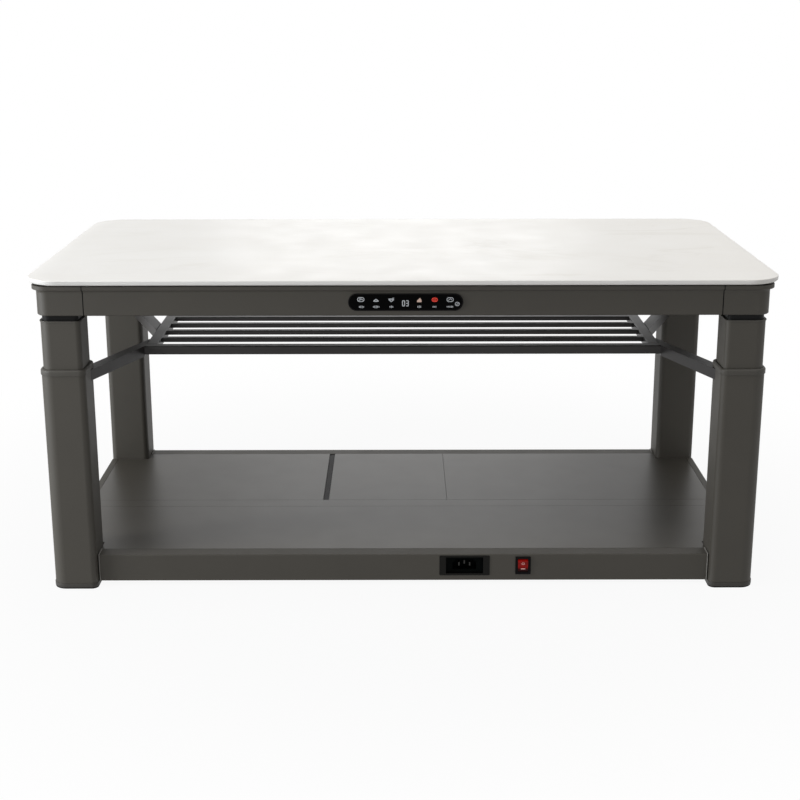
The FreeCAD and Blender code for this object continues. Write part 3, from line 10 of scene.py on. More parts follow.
import bpy
import numpy as np
from mathutils import Matrix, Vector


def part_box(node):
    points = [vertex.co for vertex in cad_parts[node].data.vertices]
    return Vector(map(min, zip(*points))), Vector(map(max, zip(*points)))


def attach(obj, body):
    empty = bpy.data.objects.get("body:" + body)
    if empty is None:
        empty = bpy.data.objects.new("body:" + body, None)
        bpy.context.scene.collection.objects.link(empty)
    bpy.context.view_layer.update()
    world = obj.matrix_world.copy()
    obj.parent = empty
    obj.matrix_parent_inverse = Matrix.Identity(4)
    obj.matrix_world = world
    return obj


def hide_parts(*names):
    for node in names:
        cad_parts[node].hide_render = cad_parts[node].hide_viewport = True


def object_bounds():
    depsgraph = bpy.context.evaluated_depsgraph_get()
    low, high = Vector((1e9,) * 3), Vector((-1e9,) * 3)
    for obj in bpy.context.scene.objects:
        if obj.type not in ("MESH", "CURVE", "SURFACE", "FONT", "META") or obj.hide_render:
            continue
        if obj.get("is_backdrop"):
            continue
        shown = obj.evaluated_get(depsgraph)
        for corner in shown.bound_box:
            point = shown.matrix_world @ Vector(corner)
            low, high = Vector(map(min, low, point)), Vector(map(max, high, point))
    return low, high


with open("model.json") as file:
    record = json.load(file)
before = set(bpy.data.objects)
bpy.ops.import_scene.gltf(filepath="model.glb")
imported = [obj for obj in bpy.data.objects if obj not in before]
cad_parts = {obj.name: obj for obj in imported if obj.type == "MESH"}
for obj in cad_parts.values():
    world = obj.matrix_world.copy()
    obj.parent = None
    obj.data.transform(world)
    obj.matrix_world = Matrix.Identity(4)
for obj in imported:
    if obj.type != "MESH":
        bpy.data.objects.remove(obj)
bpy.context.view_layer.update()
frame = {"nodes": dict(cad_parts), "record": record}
NODES = frame["nodes"]
CORNERS = ("front_left", "front_right", "rear_right", "rear_left")
MM = 0.001


def millimetres(node):
    """Lowest and highest corner of a solid, in millimetres."""
    return [np.array(corner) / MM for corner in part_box(node)]


# %% [markdown]
# The camera stands where the product camera stood: nearly a metre above the floor and two and a
# half metres away, tilted down by almost sixteen degrees. Its axes are written as the columns of a
# matrix, so the tiny turn and roll of the real camera are kept. A long lens keeps the legs nearly
# parallel.

# %% Camera
EYE = (-0.00794, -2.56786, 0.96120)
PITCH, YAW, ROLL = math.radians(15.661), math.radians(0.0684), math.radians(-0.0800)
FOCAL_SHARE = 1459.2 / 800

ahead = np.array([math.sin(YAW) * math.cos(PITCH), math.cos(YAW) * math.cos(PITCH),
                  -math.sin(PITCH)])
level_right = np.array([math.cos(YAW), -math.sin(YAW), 0.0])
level_up = np.cross(level_right, ahead)
right = level_right * math.cos(ROLL) + level_up * math.sin(ROLL)
up = level_up * math.cos(ROLL) - level_right * math.sin(ROLL)

camera_data = bpy.data.cameras.new("camera")
camera_data.sensor_width = 36.0
camera_data.lens = camera_data.sensor_width * FOCAL_SHARE
camera_data.clip_start, camera_data.clip_end = 0.05, 500.0
camera = bpy.data.objects.new("camera", camera_data)
axes = np.eye(4)
axes[:3, 0], axes[:3, 1], axes[:3, 2], axes[:3, 3] = right, up, -ahead, EYE
camera.matrix_world = Matrix(axes.tolist())
bpy.context.scene.collection.objects.link(camera)
bpy.context.scene.camera = camera
bpy.context.scene.view_settings.view_transform = "Standard"
print("lens in millimetres:", round(camera_data.lens, 2))

# %% [markdown]
# A shape on this table is nearly always an outline with rounded corners and a small section
# carried round it: a slab, a collar, a shoe, a key. The outline comes first. Its corners are
# rounded and it keeps the outward direction at every point. Modifiers could bevel boxes instead,
# but worked out on whole arrays the outline is short and exact.

# %% Rounded outlines
def rounded_loop(corners, radii, steps=9):
    """Counterclockwise outline with rounded corners, as points and outward normals.

    At a corner the normal turns evenly from the side before to the side after it. The point is
    the centre of the arc plus the radius times the normal, with a minus where the corner goes in.
    """
    corners = np.array(corners, float)
    after = np.roll(corners, -1, 0) - corners
    after /= np.linalg.norm(after, axis=1)[:, None]
    before = np.roll(after, 1, 0)
    turn = np.arctan2(before[:, 0] * after[:, 1] - before[:, 1] * after[:, 0],
                      (before * after).sum(1))
    radius = np.broadcast_to(np.array(radii, float), len(corners)) * np.sign(turn)
    side_normal = np.stack([before[:, 1], -before[:, 0]], 1)
    back_off = np.abs(radius) * np.tan(np.abs(turn) / 2)
    centre = corners - before * back_off[:, None] - side_normal * radius[:, None]
    start = np.arctan2(side_normal[:, 1], side_normal[:, 0])
    angle = start[:, None] + turn[:, None] * np.linspace(0, 1, steps)
    normals = np.stack([np.cos(angle), np.sin(angle)], -1)
    points = centre[:, None] + normals * radius[:, None, None]
    return points.reshape(-1, 2), normals.reshape(-1, 2)


def box_corners(low_a, low_b, high_a, high_b):
    """The four corners of a rectangle, counterclockwise."""
    return [(low_a, low_b), (high_a, low_b), (high_a, high_b), (low_a, high_b)]


print("a rounded square has", len(rounded_loop(box_corners(-1, -1, 1, 1), 0.2)[0]), "points")

# %% [markdown]
# The section is a profile of reach and height. It is carried round the outline, and its own edges
# are rounded with small arcs, as moulded and painted edges are. The grid that comes out stands
# upright, and where a part lies or leans it is laid out along other directions.

# %% Carried profiles
def carried(loop, profile):
    """Grid of points: the loop's point plus the profile's reach times the normal, at its height."""
    points, normals = loop
    reach, height = np.array(profile, float).T
    flat = points[:, None] + normals[:, None] * reach[None, :, None]
    heights = np.broadcast_to(height[None, :, None], flat.shape[:2] + (1,))
    return np.concatenate([flat, heights], -1)


def arc(reach, height, radius, first, last, steps):
    """Points of a circle's arc in a profile, from one angle to another, in degrees."""
    angle = np.radians(np.linspace(first, last, steps))
    return np.stack([reach + radius * np.cos(angle), height + radius * np.sin(angle)], 1)


def lower_edge(reach, height, radius, steps=4):
    """Rounded lower outer edge of a profile, whose sharp corner would be at reach and height."""
    return arc(reach - radius, height + radius, radius, -90, 0, steps)


def upper_edge(reach, height, radius, steps=4):
    """Rounded upper outer edge of a profile, whose sharp corner would be at reach and height."""
    return arc(reach - radius, height - radius, radius, 0, 90, steps)


def laid(grid, origin, first, second, third):
    """Lay a grid out along three directions from an origin, in place of X, Y and Z."""
    return grid @ np.array([first, second, third], float) + np.array(origin, float)


X, Y, Z = np.eye(3)
print("an edge's arc has", len(lower_edge(0, 0, 1)), "points")

# %% [markdown]
# A grid becomes a closed solid in one of two ways. A bar or a slab gets a flat face on both ends.
# A hollow collar needs none, because its profile closes on itself. The volume of each tells
# whether its faces look outwards, and if it comes out negative, the faces are turned round.

# %% Closed solids
def solid(grid, ring=False):
    """Points, corner indices and corner counts of the closed solid over a grid.

    Rows run round the loop. A ring's columns close on themselves; else both ends get a cap.
    """
    rows, columns = grid.shape[:2]
    index = np.arange(rows * columns).reshape(rows, columns)
    around = np.vstack([index, index[:1]])
    if ring:
        around = np.hstack([around, around[:, :1]])
    quads = np.stack([around[:-1, :-1], around[1:, :-1], around[1:, 1:], around[:-1, 1:]], -1)
    corners, counts = quads.reshape(-1), np.full(quads.shape[0] * quads.shape[1], 4)
    if not ring:
        corners = np.concatenate([corners, index[::-1, 0], index[:, -1]])
        counts = np.concatenate([counts, [rows, rows]])
    return grid.reshape(-1, 3), corners, counts


def outwards(points, corners, counts):
    """The same solid with its faces outwards: reversed where its signed volume is negative.

    The volume is a sixth of the sum over all face edges of face start . (edge start x edge end).
    """
    starts = np.cumsum(counts) - counts
    following = np.arange(len(corners)) + 1
    following[starts + counts - 1] = starts
    anchor = points[np.repeat(corners[starts], counts)]
    wedge = np.cross(points[corners], points[corners[following]])
    if np.einsum("ij,ij", anchor, wedge) < 0:
        corners, counts = corners[::-1], counts[::-1]
    return points, corners, counts


block = solid(carried(rounded_loop(box_corners(-1, -1, 1, 1), 0.2), [(0, 0), (0, 1)]))
print("a rounded block has", len(block[2]), "faces")

# %% [markdown]
# Several solids go into one piece, for instance the four shoes. Its points go into the mesh as
# whole arrays. Faces that meet at a small angle are shaded as one surface, the others stay sharp,
# as on the real part. Each piece then gets its finish, its body and the solids it stands for.

# %% Pieces
CREASE = math.radians(32.0)


def piece(name, solids, body, finish, stands_for=()):
    """One object made of closed solids, in millimetres, smooth except where it really has edges."""
    solids = [outwards(*one) for one in solids]
    points = np.concatenate([one[0] for one in solids]) * MM
    starts = np.cumsum([0] + [len(one[0]) for one in solids])
    corners = np.concatenate([one[1] + start for one, start in zip(solids, starts)])
    counts = np.concatenate([one[2] for one in solids])
    mesh = bpy.data.meshes.new(name)
    mesh.vertices.add(len(points))
    mesh.vertices.foreach_set("co", points.astype(np.float32).ravel())
    mesh.loops.add(len(corners))
    mesh.loops.foreach_set("vertex_index", corners.astype(np.int32))
    mesh.polygons.add(len(counts))
    mesh.polygons.foreach_set("loop_start", (np.cumsum(counts) - counts).astype(np.int32))
    mesh.update(calc_edges=True)
    mesh.validate()
    mesh.shade_smooth()
    mesh.set_sharp_from_angle(angle=CREASE)
    mesh.materials.append(finish)
    thing = bpy.data.objects.new(name, mesh)
    bpy.context.scene.collection.objects.link(thing)
    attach(thing, body)
    if stands_for:
        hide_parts(*stands_for)
    print(name, "faces:", len(counts))


print("edges sharper than", round(math.degrees(CREASE)), "degrees stay sharp")

# %% [markdown]
# The table stands on a wide pale floor under an even white sky. The floor is real and takes the
# shadow, but most of what the camera sees of it is plain white, and from a metre and a half out
# all of it, so that the shadow stays faint and the floor runs into the sky without a line. Shiny
# parts see the same white room.

# %% The floor's plane
FLOOR_REACH = 120.0
floor_mesh = bpy.data.meshes.new("floor")
floor_mesh.from_pydata([(x * FLOOR_REACH, y * FLOOR_REACH, 0) for x, y in
                        ((-1, -1), (1, -1), (1, 1), (-1, 1))], [], [(0, 1, 2, 3)])
floor = bpy.data.objects.new("floor", floor_mesh)
bpy.context.scene.collection.objects.link(floor)
floor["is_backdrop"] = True
print("floor reaches", FLOOR_REACH, "metres each way")

# %% [markdown]
# Shaders are mixed from small nodes: one spreads a range of values over another, one does a sum.
# The light path tells who is looking. The camera and mirrors see white, and all other light sees
# the darker floor and sky, so the white room doesn't flood the table.

# %% Floor paint and sky
FLOOR_GREY, SKY_FOR_LIGHT, WHITE_NEAR = 0.45, 0.24, 0.93
FADE_START, FADE_END = 0.55, 1.35


def spread(made, value, low, high, first=0.3, last=0.7):
    """The value between first and last, spread over low to high."""
    node = made.node_tree.nodes.new("ShaderNodeMapRange")
    for socket, number in zip(("From Min", "From Max", "To Min", "To Max"),
                              (first, last, low, high)):
        node.inputs[socket].default_value = number
    made.node_tree.links.new(value, node.inputs["Value"])
    return node.outputs[0]


def combined(made, operation, first, second):
    """Two values, or a value and a number, put through one sum."""
    node = made.node_tree.nodes.new("ShaderNodeMath")
    node.operation = operation
    made.node_tree.links.new(first, node.inputs[0])
    if isinstance(second, (int, float)):
        node.inputs[1].default_value = second
    else:
        made.node_tree.links.new(second, node.inputs[1])
    return node.outputs[0]


def seen_share(made):
    """One for camera, glossy and transmission rays, and nought for all others."""
    path = made.node_tree.nodes.new("ShaderNodeLightPath").outputs
    seen = combined(made, "MAXIMUM", path["Is Camera Ray"], path["Is Glossy Ray"])
    return combined(made, "MAXIMUM", seen, path["Is Transmission Ray"])


floor_paint = bpy.data.materials.new("floor_paint")
floor_paint.use_nodes = True
nodes, links = floor_paint.node_tree.nodes, floor_paint.node_tree.links
nodes.clear()
matt = nodes.new("ShaderNodeBsdfDiffuse")
matt.inputs["Color"].default_value = (FLOOR_GREY, FLOOR_GREY, FLOOR_GREY, 1)
white = nodes.new("ShaderNodeEmission")
places = nodes.new("ShaderNodeTexCoord")
from_middle = nodes.new("ShaderNodeVectorMath")
from_middle.operation = "LENGTH"
links.new(places.outputs["Object"], from_middle.inputs[0])
fade = spread(floor_paint, from_middle.outputs["Value"], WHITE_NEAR, 1.0, FADE_START, FADE_END)
fade.node.interpolation_type = "SMOOTHSTEP"
both = nodes.new("ShaderNodeMixShader")
out = nodes.new("ShaderNodeOutputMaterial")
links.new(combined(floor_paint, "MULTIPLY", seen_share(floor_paint), fade), both.inputs["Fac"])
links.new(matt.outputs[0], both.inputs[1])
links.new(white.outputs[0], both.inputs[2])
links.new(both.outputs[0], out.inputs["Surface"])
floor_mesh.materials.append(floor_paint)

world = bpy.data.worlds.new("sky")
world.use_nodes = True
bpy.context.scene.world = world
sky = world.node_tree.nodes["Background"]
sky.inputs["Color"].default_value = (1, 1, 1, 1)
lifted = combined(world, "MULTIPLY", seen_share(world), 1 - SKY_FOR_LIGHT)
world.node_tree.links.new(combined(world, "ADD", lifted, SKY_FOR_LIGHT), sky.inputs["Strength"])
print("sky strength for light:", SKY_FOR_LIGHT)

# %% [markdown]
# A soft round lamp stands on the left, a little higher than the top, so the light falls off to the
# right and brightens every corner that faces left. It is a touch cooler than the rest. A broad sun
# stands above, and a wide oval lamp far behind the table puts a sheen on the middle of the stone.

# %% Lamps
def lamp(name, kind, energy, towards, place=(0, 0, 0), **settings):
    """A lamp at a place that shines along the given direction."""
    data = bpy.data.lights.new(name, kind)
    data.energy = energy
    for setting, value in settings.items():
        setattr(data, setting, value)
    back = -np.array(towards, float) / np.linalg.norm(towards)
    side = np.cross((0.0, 0.0, 1.0), back)
    side /= np.linalg.norm(side)
    turn = np.eye(4)
    turn[:3, 0], turn[:3, 1], turn[:3, 2], turn[:3, 3] = side, np.cross(back, side), back, place
    made = bpy.data.objects.new(name, data)
    made.matrix_world = Matrix(turn.tolist())
    made.visible_camera = False
    bpy.context.scene.collection.objects.link(made)


lamp("lamp_left", "AREA", 66.0, (2.1, 0.7, -0.28), (-2.7, -1.0, 0.76), shape="DISK", size=0.9,
     color=(0.94, 0.97, 1.0))
lamp("lamp_above", "SUN", 1.78, (0.05, 0.10, -1.0), angle=math.radians(40))
lamp("lamp_behind", "AREA", 3.2, (0, -1, -0.20), (0.0, 3.2, 1.20), shape="ELLIPSE", size=1.5,
     size_y=1.0)

# %% [markdown]
# A finish is a shader with two kinds of unevenness: a slow drift of colour and gloss across the
# piece, and a fine grain that only bends the light. Both come from noise on the object's own
# coordinates, in metres, so a grain keeps its real size on every piece that wears the finish.

# %% Shaders, noise and colours
def new_finish(name, colour, roughness, metallic=0.0, **sockets):
    """A material with one shader; extra settings go straight to the shader's own sockets."""
    made = bpy.data.materials.new(name)
    made.use_nodes = True
    shader = made.node_tree.nodes["Principled BSDF"]
    shader.inputs["Base Color"].default_value = (*colour, 1)
    shader.inputs["Roughness"].default_value = roughness
    shader.inputs["Metallic"].default_value = metallic
    for socket, value in sockets.items():
        shader.inputs[socket.replace("_", " ")].default_value = value
    return made


def speckle(made, size, stretch=(1, 1, 1), detail=2.0, distortion=0.0, coarse=0.5):
    """Noise whose lumps are about size millimetres, longer along an axis that is stretched."""
    nodes, links = made.node_tree.nodes, made.node_tree.links
    places = nodes.new("ShaderNodeTexCoord")
    mapping = nodes.new("ShaderNodeMapping")
    mapping.inputs["Scale"].default_value = [1 / (size * MM * s) for s in stretch]
    noise = nodes.new("ShaderNodeTexNoise")
    noise.inputs["Scale"].default_value = 1.0
    noise.inputs["Detail"].default_value = detail
    noise.inputs["Distortion"].default_value = distortion
    noise.inputs["Roughness"].default_value = coarse
    links.new(places.outputs["Object"], mapping.inputs["Vector"])
    links.new(mapping.outputs[0], noise.inputs["Vector"])
    return noise.outputs["Fac"]


def between(made, share, low, high):
    """A colour that goes from low to high as the share goes from nought to one."""
    node = made.node_tree.nodes.new("ShaderNodeMix")
    node.data_type = "RGBA"
    made.node_tree.links.new(share, node.inputs["Factor"])
    for socket, colour in ((node.inputs[6], low), (node.inputs[7], high)):
        if isinstance(colour, tuple):
            socket.default_value = (*colour, 1)
        else:
            made.node_tree.links.new(colour, socket)
    return node.outputs[2]


def set_up(made, socket, value):
    """Feed a socket of the finish's shader."""
    made.node_tree.links.new(value, made.node_tree.nodes["Principled BSDF"].inputs[socket])


print("finishes so far:", len(bpy.data.materials))

# %% [markdown]
# Paint, moulded plastic and plating are all made by the same recipe. Two noises of different size
# carry the drift of tone and of gloss, and a third one is the grain.

# %% Coated surfaces
TONE_LUMP, GLOSS_LUMP, TONE_DRIFT = 140, 45, 0.05


def relief(made, height, depth):
    """Bend the light as if the surface rose by depth millimetres where the height is one."""
    bump = made.node_tree.nodes.new("ShaderNodeBump")
    bump.inputs["Strength"].default_value = 1.0
    bump.inputs["Distance"].default_value = depth * MM
    made.node_tree.links.new(height, bump.inputs["Height"])
    set_up(made, "Normal", bump.outputs[0])


def coated(name, colour, roughness, grain, depth, gloss_drift=0.02, metallic=0.0, **sockets):
    """A painted, moulded or plated finish: slow drift of tone and gloss, and a fine grain."""
    made = new_finish(name, colour, roughness, metallic, **sockets)
    darker = tuple(c * (1 - TONE_DRIFT) for c in colour)
    lighter = tuple(c * (1 + TONE_DRIFT) for c in colour)
    tone = spread(made, speckle(made, TONE_LUMP, detail=3.0), 0, 1)
    set_up(made, "Base Color", between(made, tone, darker, lighter))
    set_up(made, "Roughness", spread(made, speckle(made, GLOSS_LUMP, detail=4.0),
                                     roughness - gloss_drift, roughness + gloss_drift))
    relief(made, speckle(made, grain, detail=2.0), depth)
    return made


print("lumps of tone and gloss in millimetres:", TONE_LUMP, GLOSS_LUMP)

# %% [markdown]
# The steel is powder coated in a dark warm grey. Powder coat melts into a skin with a slight
# orange peel, finer on the legs and smoother on the deck panels, which are glossier and a shade
# paler. The rack and the inner tubes are near black. Moulded parts share the frame's tone and
# carry the finer spark texture of their mould. The inlet's pins are plated, but they lie deep in
# black plastic, so their metal colour is painted dark: painted shade and a painted reflection of
# that plastic.

# %% Paints, plastics and metals
WARM_GREY = (0.0402, 0.0356, 0.0274)
DECK_GREY = (0.0595, 0.0545, 0.0455)
frame_paint = coated("frame_paint", WARM_GREY, 0.60, grain=1.6, depth=0.030,
                     Specular_IOR_Level=0.50)
deck_paint = coated("deck_paint", DECK_GREY, 0.36, gloss_drift=0.01, grain=2.4, depth=0.020,
                    Specular_IOR_Level=0.28)
rack_paint = coated("rack_paint", (0.022, 0.020, 0.019), 0.42, grain=1.6, depth=0.025,
                    Specular_IOR_Level=0.35)
dark_paint = coated("dark_paint", (0.005, 0.005, 0.005), 0.45, grain=1.4, depth=0.025,
                    Specular_IOR_Level=0.12)
collar_moulding = coated("collar_moulding", (0.043, 0.039, 0.0315), 0.60, grain=0.7,
                         depth=0.030, Specular_IOR_Level=0.50)
black_moulding = coated("black_moulding", (0.0045, 0.004, 0.004), 0.46, grain=0.6, depth=0.025,
                        Specular_IOR_Level=0.06)
# Painted shade and reflection: the plated pins' metal colour is set dark for the black recess.
bright_pin = coated("bright_pin", (0.045, 0.044, 0.042), 0.42, metallic=1.0, grain=0.8, depth=0.01)
rubber = coated("rubber", (0.004, 0.004, 0.004), 0.78, grain=0.9, depth=0.05,
                Specular_IOR_Level=0.06)
print("finishes so far:", len(bpy.data.materials))

# %% [markdown]
# The inlet's frame is dark grey on its flange, and its recess is painted black as painted shade,
# because hardly any light reaches its walls. The change follows the depth behind the flange, read
# from the solid.

# %% Inlet moulding
def depth_share(made, axis, first, last):
    """Nought up to the place first along an axis, and one from the place last on."""
    nodes, links = made.node_tree.nodes, made.node_tree.links
    places = nodes.new("ShaderNodeTexCoord")
    parts = nodes.new("ShaderNodeSeparateXYZ")
    links.new(places.outputs["Object"], parts.inputs[0])
    return spread(made, parts.outputs[axis], 0, 1, first * MM, last * MM)


flange_y = millimetres("inlet_frame")[0][1]
inlet_moulding = coated("inlet_moulding", (0.010, 0.010, 0.009), 0.42, grain=0.6, depth=0.020,
                        Specular_IOR_Level=0.08)
# Painted shade: the colour turns black with the depth behind the flange.
set_up(inlet_moulding, "Base Color", between(
    inlet_moulding, depth_share(inlet_moulding, "Y", flange_y + 0.6, flange_y + 1.6),
    (0.0105, 0.0102, 0.0090), (0.0008, 0.0008, 0.0008)))
# Painted shade: the socket is darker than the panel's black plastic, as it lies deep in its recess.
socket_moulding = coated("socket_moulding", (0.0022, 0.0030, 0.0028), 0.50, grain=0.6,
                         depth=0.020, Specular_IOR_Level=0.02)
print("flange at", round(flange_y, 2))

# %% [markdown]
# Zinc plate shows crystals: cells up to a centimetre wide that differ in brightness. A rolled
# sheet shows lines instead, so its noise is stretched along the direction of the rolling. The
# heater's quartz is a milky tube in which the coiled wire shows as fine bands, and its mats are
# glass cloth with a coating, where two crossed waves give the weave.

# %% Zinc, bright metal, quartz and glass cloth
WAVES_PER_UNIT = 3.2


def crystal(made, size):
    """Cells of about size millimetres, each with its own value."""
    nodes, links = made.node_tree.nodes, made.node_tree.links
    places = nodes.new("ShaderNodeTexCoord")
    cells = nodes.new("ShaderNodeTexVoronoi")
    cells.inputs["Scale"].default_value = 1 / (size * MM)
    links.new(places.outputs["Object"], cells.inputs["Vector"])
    value = nodes.new("ShaderNodeSeparateColor")
    links.new(cells.outputs["Color"], value.inputs[0])
    return value.outputs[0]


def weave(made, pitch, axis):
    """A sine wave across one axis, one thread every pitch millimetres.

    At a scale of one, the wave texture has WAVES_PER_UNIT waves in a unit of length.
    """
    nodes, links = made.node_tree.nodes, made.node_tree.links
    places = nodes.new("ShaderNodeTexCoord")
    wave = nodes.new("ShaderNodeTexWave")
    wave.bands_direction = axis
    wave.inputs["Scale"].default_value = 1 / (pitch * MM) / WAVES_PER_UNIT
    links.new(places.outputs["Object"], wave.inputs["Vector"])
    return wave.outputs["Fac"]


zinc = new_finish("zinc", (0.42, 0.42, 0.43), 0.4, 1.0)
flake = crystal(zinc, 9)
set_up(zinc, "Base Color", between(zinc, flake, (0.36, 0.36, 0.37), (0.50, 0.50, 0.51)))
set_up(zinc, "Roughness", spread(zinc, flake, 0.30, 0.48, 0, 1))

reflector = new_finish("reflector", (0.78, 0.78, 0.79), 0.2, 1.0)
rolling = speckle(reflector, 3, stretch=(1, 40, 1), detail=3.0)
set_up(reflector, "Roughness", spread(reflector, rolling, 0.14, 0.30))
relief(reflector, rolling, 0.01)

quartz = new_finish("quartz", (0.78, 0.76, 0.71), 0.28)
set_up(quartz, "Base Color", between(quartz, spread(quartz, weave(quartz, 2.8, "Y"), 0, 1, 0, 1),
                                     (0.42, 0.38, 0.33), (0.80, 0.78, 0.73)))

glass_cloth = new_finish("glass_cloth", (0.10, 0.09, 0.08), 0.7)
threads = combined(glass_cloth, "MULTIPLY", weave(glass_cloth, 1.2, "X"),
                   weave(glass_cloth, 1.2, "Y"))
set_up(glass_cloth, "Base Color", between(glass_cloth, threads, (0.07, 0.065, 0.055),
                                          (0.15, 0.14, 0.125)))
relief(glass_cloth, threads, 0.15)
print("finishes so far:", len(bpy.data.materials))

# %% [markdown]
# The top is sintered stone: pale, dense and satin, with soft beige veins that run mostly along
# the table. A vein is where a slow, warped noise crosses its middle value, so it comes out as a
# thin winding line. A second noise fades it in and out, as veins do in stone, and this slab has
# more of them at its right end. That end is also painted a touch warmer, as painted warm light.
# Clouds a hand wide keep the rest from looking like paper. The cut edge is ground and not
# polished, so below the top face it has a tone of its own. Along its length it is painted greyer
# at the left end, as painted shade against the left lamp, and paler towards the right, as painted
# light where that lamp falls off.

# %% Veined stone
VEIN_STRENGTH = 0.34
stone = new_finish("stone", (0.85, 0.84, 0.80), 0.34)


def vein(made, size, width, stretch):
    """One where a warped noise of the given size is within width of its middle, else nought."""
    winding = speckle(made, size, stretch=stretch, detail=5.0, distortion=0.9, coarse=0.55)
    away = combined(made, "ABSOLUTE", combined(made, "SUBTRACT", winding, 0.5), 0)
    return spread(made, away, 1, 0, 0, width)


wide_vein = vein(stone, 330, 0.020, (2.2, 0.8, 1))
fine_vein = vein(stone, 170, 0.009, (2.6, 0.8, 1))
patches = spread(stone, speckle(stone, 240, detail=2.0), 0, 1, 0.46, 0.66)
veins = combined(stone, "MULTIPLY", combined(stone, "MAXIMUM", wide_vein, fine_vein), patches)
richer = spread(stone, depth_share(stone, "X", -150, 350), 0.45, 1, 0, 1)
veins = combined(stone, "MULTIPLY", veins, richer)
clouds_and_warm_light = between(stone, spread(stone, speckle(stone, 190, (1.8, 1, 1), 4.0), 0, 1),
                 (0.82, 0.80, 0.76), (0.86, 0.845, 0.81))
# Painted warm light: the right end of the top is tinted warmer.
clouds_and_warm_light = between(stone, depth_share(stone, "X", 100, 800), clouds_and_warm_light, (0.85, 0.82, 0.765))
veined = between(stone, combined(stone, "MULTIPLY", veins, VEIN_STRENGTH), clouds_and_warm_light,
                 (0.62, 0.58, 0.50))
top_face = millimetres("tabletop_slab")[1][2]
on_top = depth_share(stone, "Z", top_face - 1.4, top_face - 0.6)
# Painted shade and light on the cut edge: greyer at the left end, paler towards the right.
cut_edge_and_painted_light = between(stone, depth_share(stone, "X", -610, -480), (0.56, 0.55, 0.53),
                   (0.77, 0.76, 0.725))
cut_edge_and_painted_light = between(stone, depth_share(stone, "X", -450, 450), cut_edge_and_painted_light, (0.90, 0.88, 0.84))
set_up(stone, "Base Color", between(stone, on_top, cut_edge_and_painted_light, veined))
set_up(stone, "Roughness", spread(stone, speckle(stone, 60, detail=3.0), 0.30, 0.40))
relief(stone, speckle(stone, 1.5), 0.004)
print("finishes so far:", len(bpy.data.materials))

# %% [markdown]
# The touch glass is gloss black, printed from behind. The rocker of the mains switch is clear red
# plastic with a small lamp behind its upper part, so it gives off a little light of its own there.
# Its colour is also painted much darker over its lower end, as painted shade on the facet that
# faces down.

# %% Glass and lit red plastic
panel_glass = new_finish("panel_glass", (0.0010, 0.0010, 0.0011), 0.10, Specular_IOR_Level=0.025)
set_up(panel_glass, "Roughness", spread(panel_glass, speckle(panel_glass, 18, detail=4.0),
                                        0.07, 0.14))
relief(panel_glass, speckle(panel_glass, 25), 0.004)

switch_z = sum(millimetres("switch_housing"))[2] / 2
lit_red = new_finish("lit_red", (0.16, 0.005, 0.005), 0.24, Emission_Strength=0.12,
                     Specular_IOR_Level=0.10)
# Painted shade: the red is much darker over the rocker's lower end.
set_up(lit_red, "Base Color", between(
    lit_red, depth_share(lit_red, "Z", switch_z - 7.0, switch_z - 3.5),
    (0.020, 0.0010, 0.0008), (0.15, 0.003, 0.002)))
lamp_spot = combined(lit_red, "MULTIPLY", spread(lit_red, speckle(lit_red, 5, detail=2.0), 0.2, 1),
                     depth_share(lit_red, "Z", switch_z - 7.0, switch_z - 2.0))
set_up(lit_red, "Emission Color", between(lit_red, lamp_spot, (0.02, 0.0, 0.0),
                                          (1.0, 0.02, 0.01)))
print("switch middle at height", round(switch_z, 2))

# %% [markdown]
# Printed signs are thin solids with their own ink, lit a little as on a panel that is on. A screen
# print is never quite even, so a fine noise thins the ink in places.

# %% Inks
THIN_INK = 0.8


def ink(name, colour, glow):
    """Printed ink that is lit from behind, with the faint unevenness of a screen print."""
    made = new_finish(name, colour, 0.5, Emission_Strength=glow, Specular_IOR_Level=0.2)
    dots = spread(made, speckle(made, 0.6), 0, 1)
    faded = tuple(c * THIN_INK for c in colour)
    set_up(made, "Base Color", between(made, dots, faded, colour))
    set_up(made, "Emission Color", between(made, dots, faded, colour))
    return made


pale_ink = ink("pale_ink", (0.46, 0.48, 0.50), 0.26)
amber_ink = ink("amber_ink", (0.58, 0.42, 0.35), 0.30)
red_ink = ink("red_ink", (0.75, 0.06, 0.04), 0.60)
white_ink = ink("white_ink", (0.75, 0.42, 0.38), 0.22)
print("finishes in all:", len(bpy.data.materials))

# %% [markdown]
# Every solid that stays visible takes the finish that the record's slot names for it. The solids
# are already smooth where the real parts are smooth, so only the finish changes. The socket is
# black plastic like the panel's parts, painted darker and duller as painted shade, because it lies
# deep in its recess.

# %% Dress the solids
FINISHES = {
    "slab_stone": stone, "frame_paint": frame_paint, "deck_paint": deck_paint,
    "rack_steel": rack_paint, "dark_steel": dark_paint, "collar_plastic": collar_moulding,
    "black_plastic": black_moulding, "inlet_plastic": inlet_moulding,
    "panel_glass": panel_glass, "rocker_red": lit_red, "zinc_steel": zinc,
    "bright_steel": bright_pin, "bright_reflector": reflector, "quartz": quartz,
    "heating_mat": glass_cloth, "black_rubber": rubber,
}
for row in frame["record"]["subparts"]:
    NODES[row["node"]].material_slots[0].material = FINISHES[row["material_slot"]]
NODES["inlet_socket"].material_slots[0].material = socket_moulding

# %% [markdown]
# The stone top is one slab with generous round corners and edges eased by hand, so that no sharp
# line meets the arm. The lower edge is eased more than the upper one, and so turns away from the
# light and draws a dark line under the slab. An outline with rounded corners is carried through a
# profile that turns from the underside over both edges to the top. Its size is read from the solid.

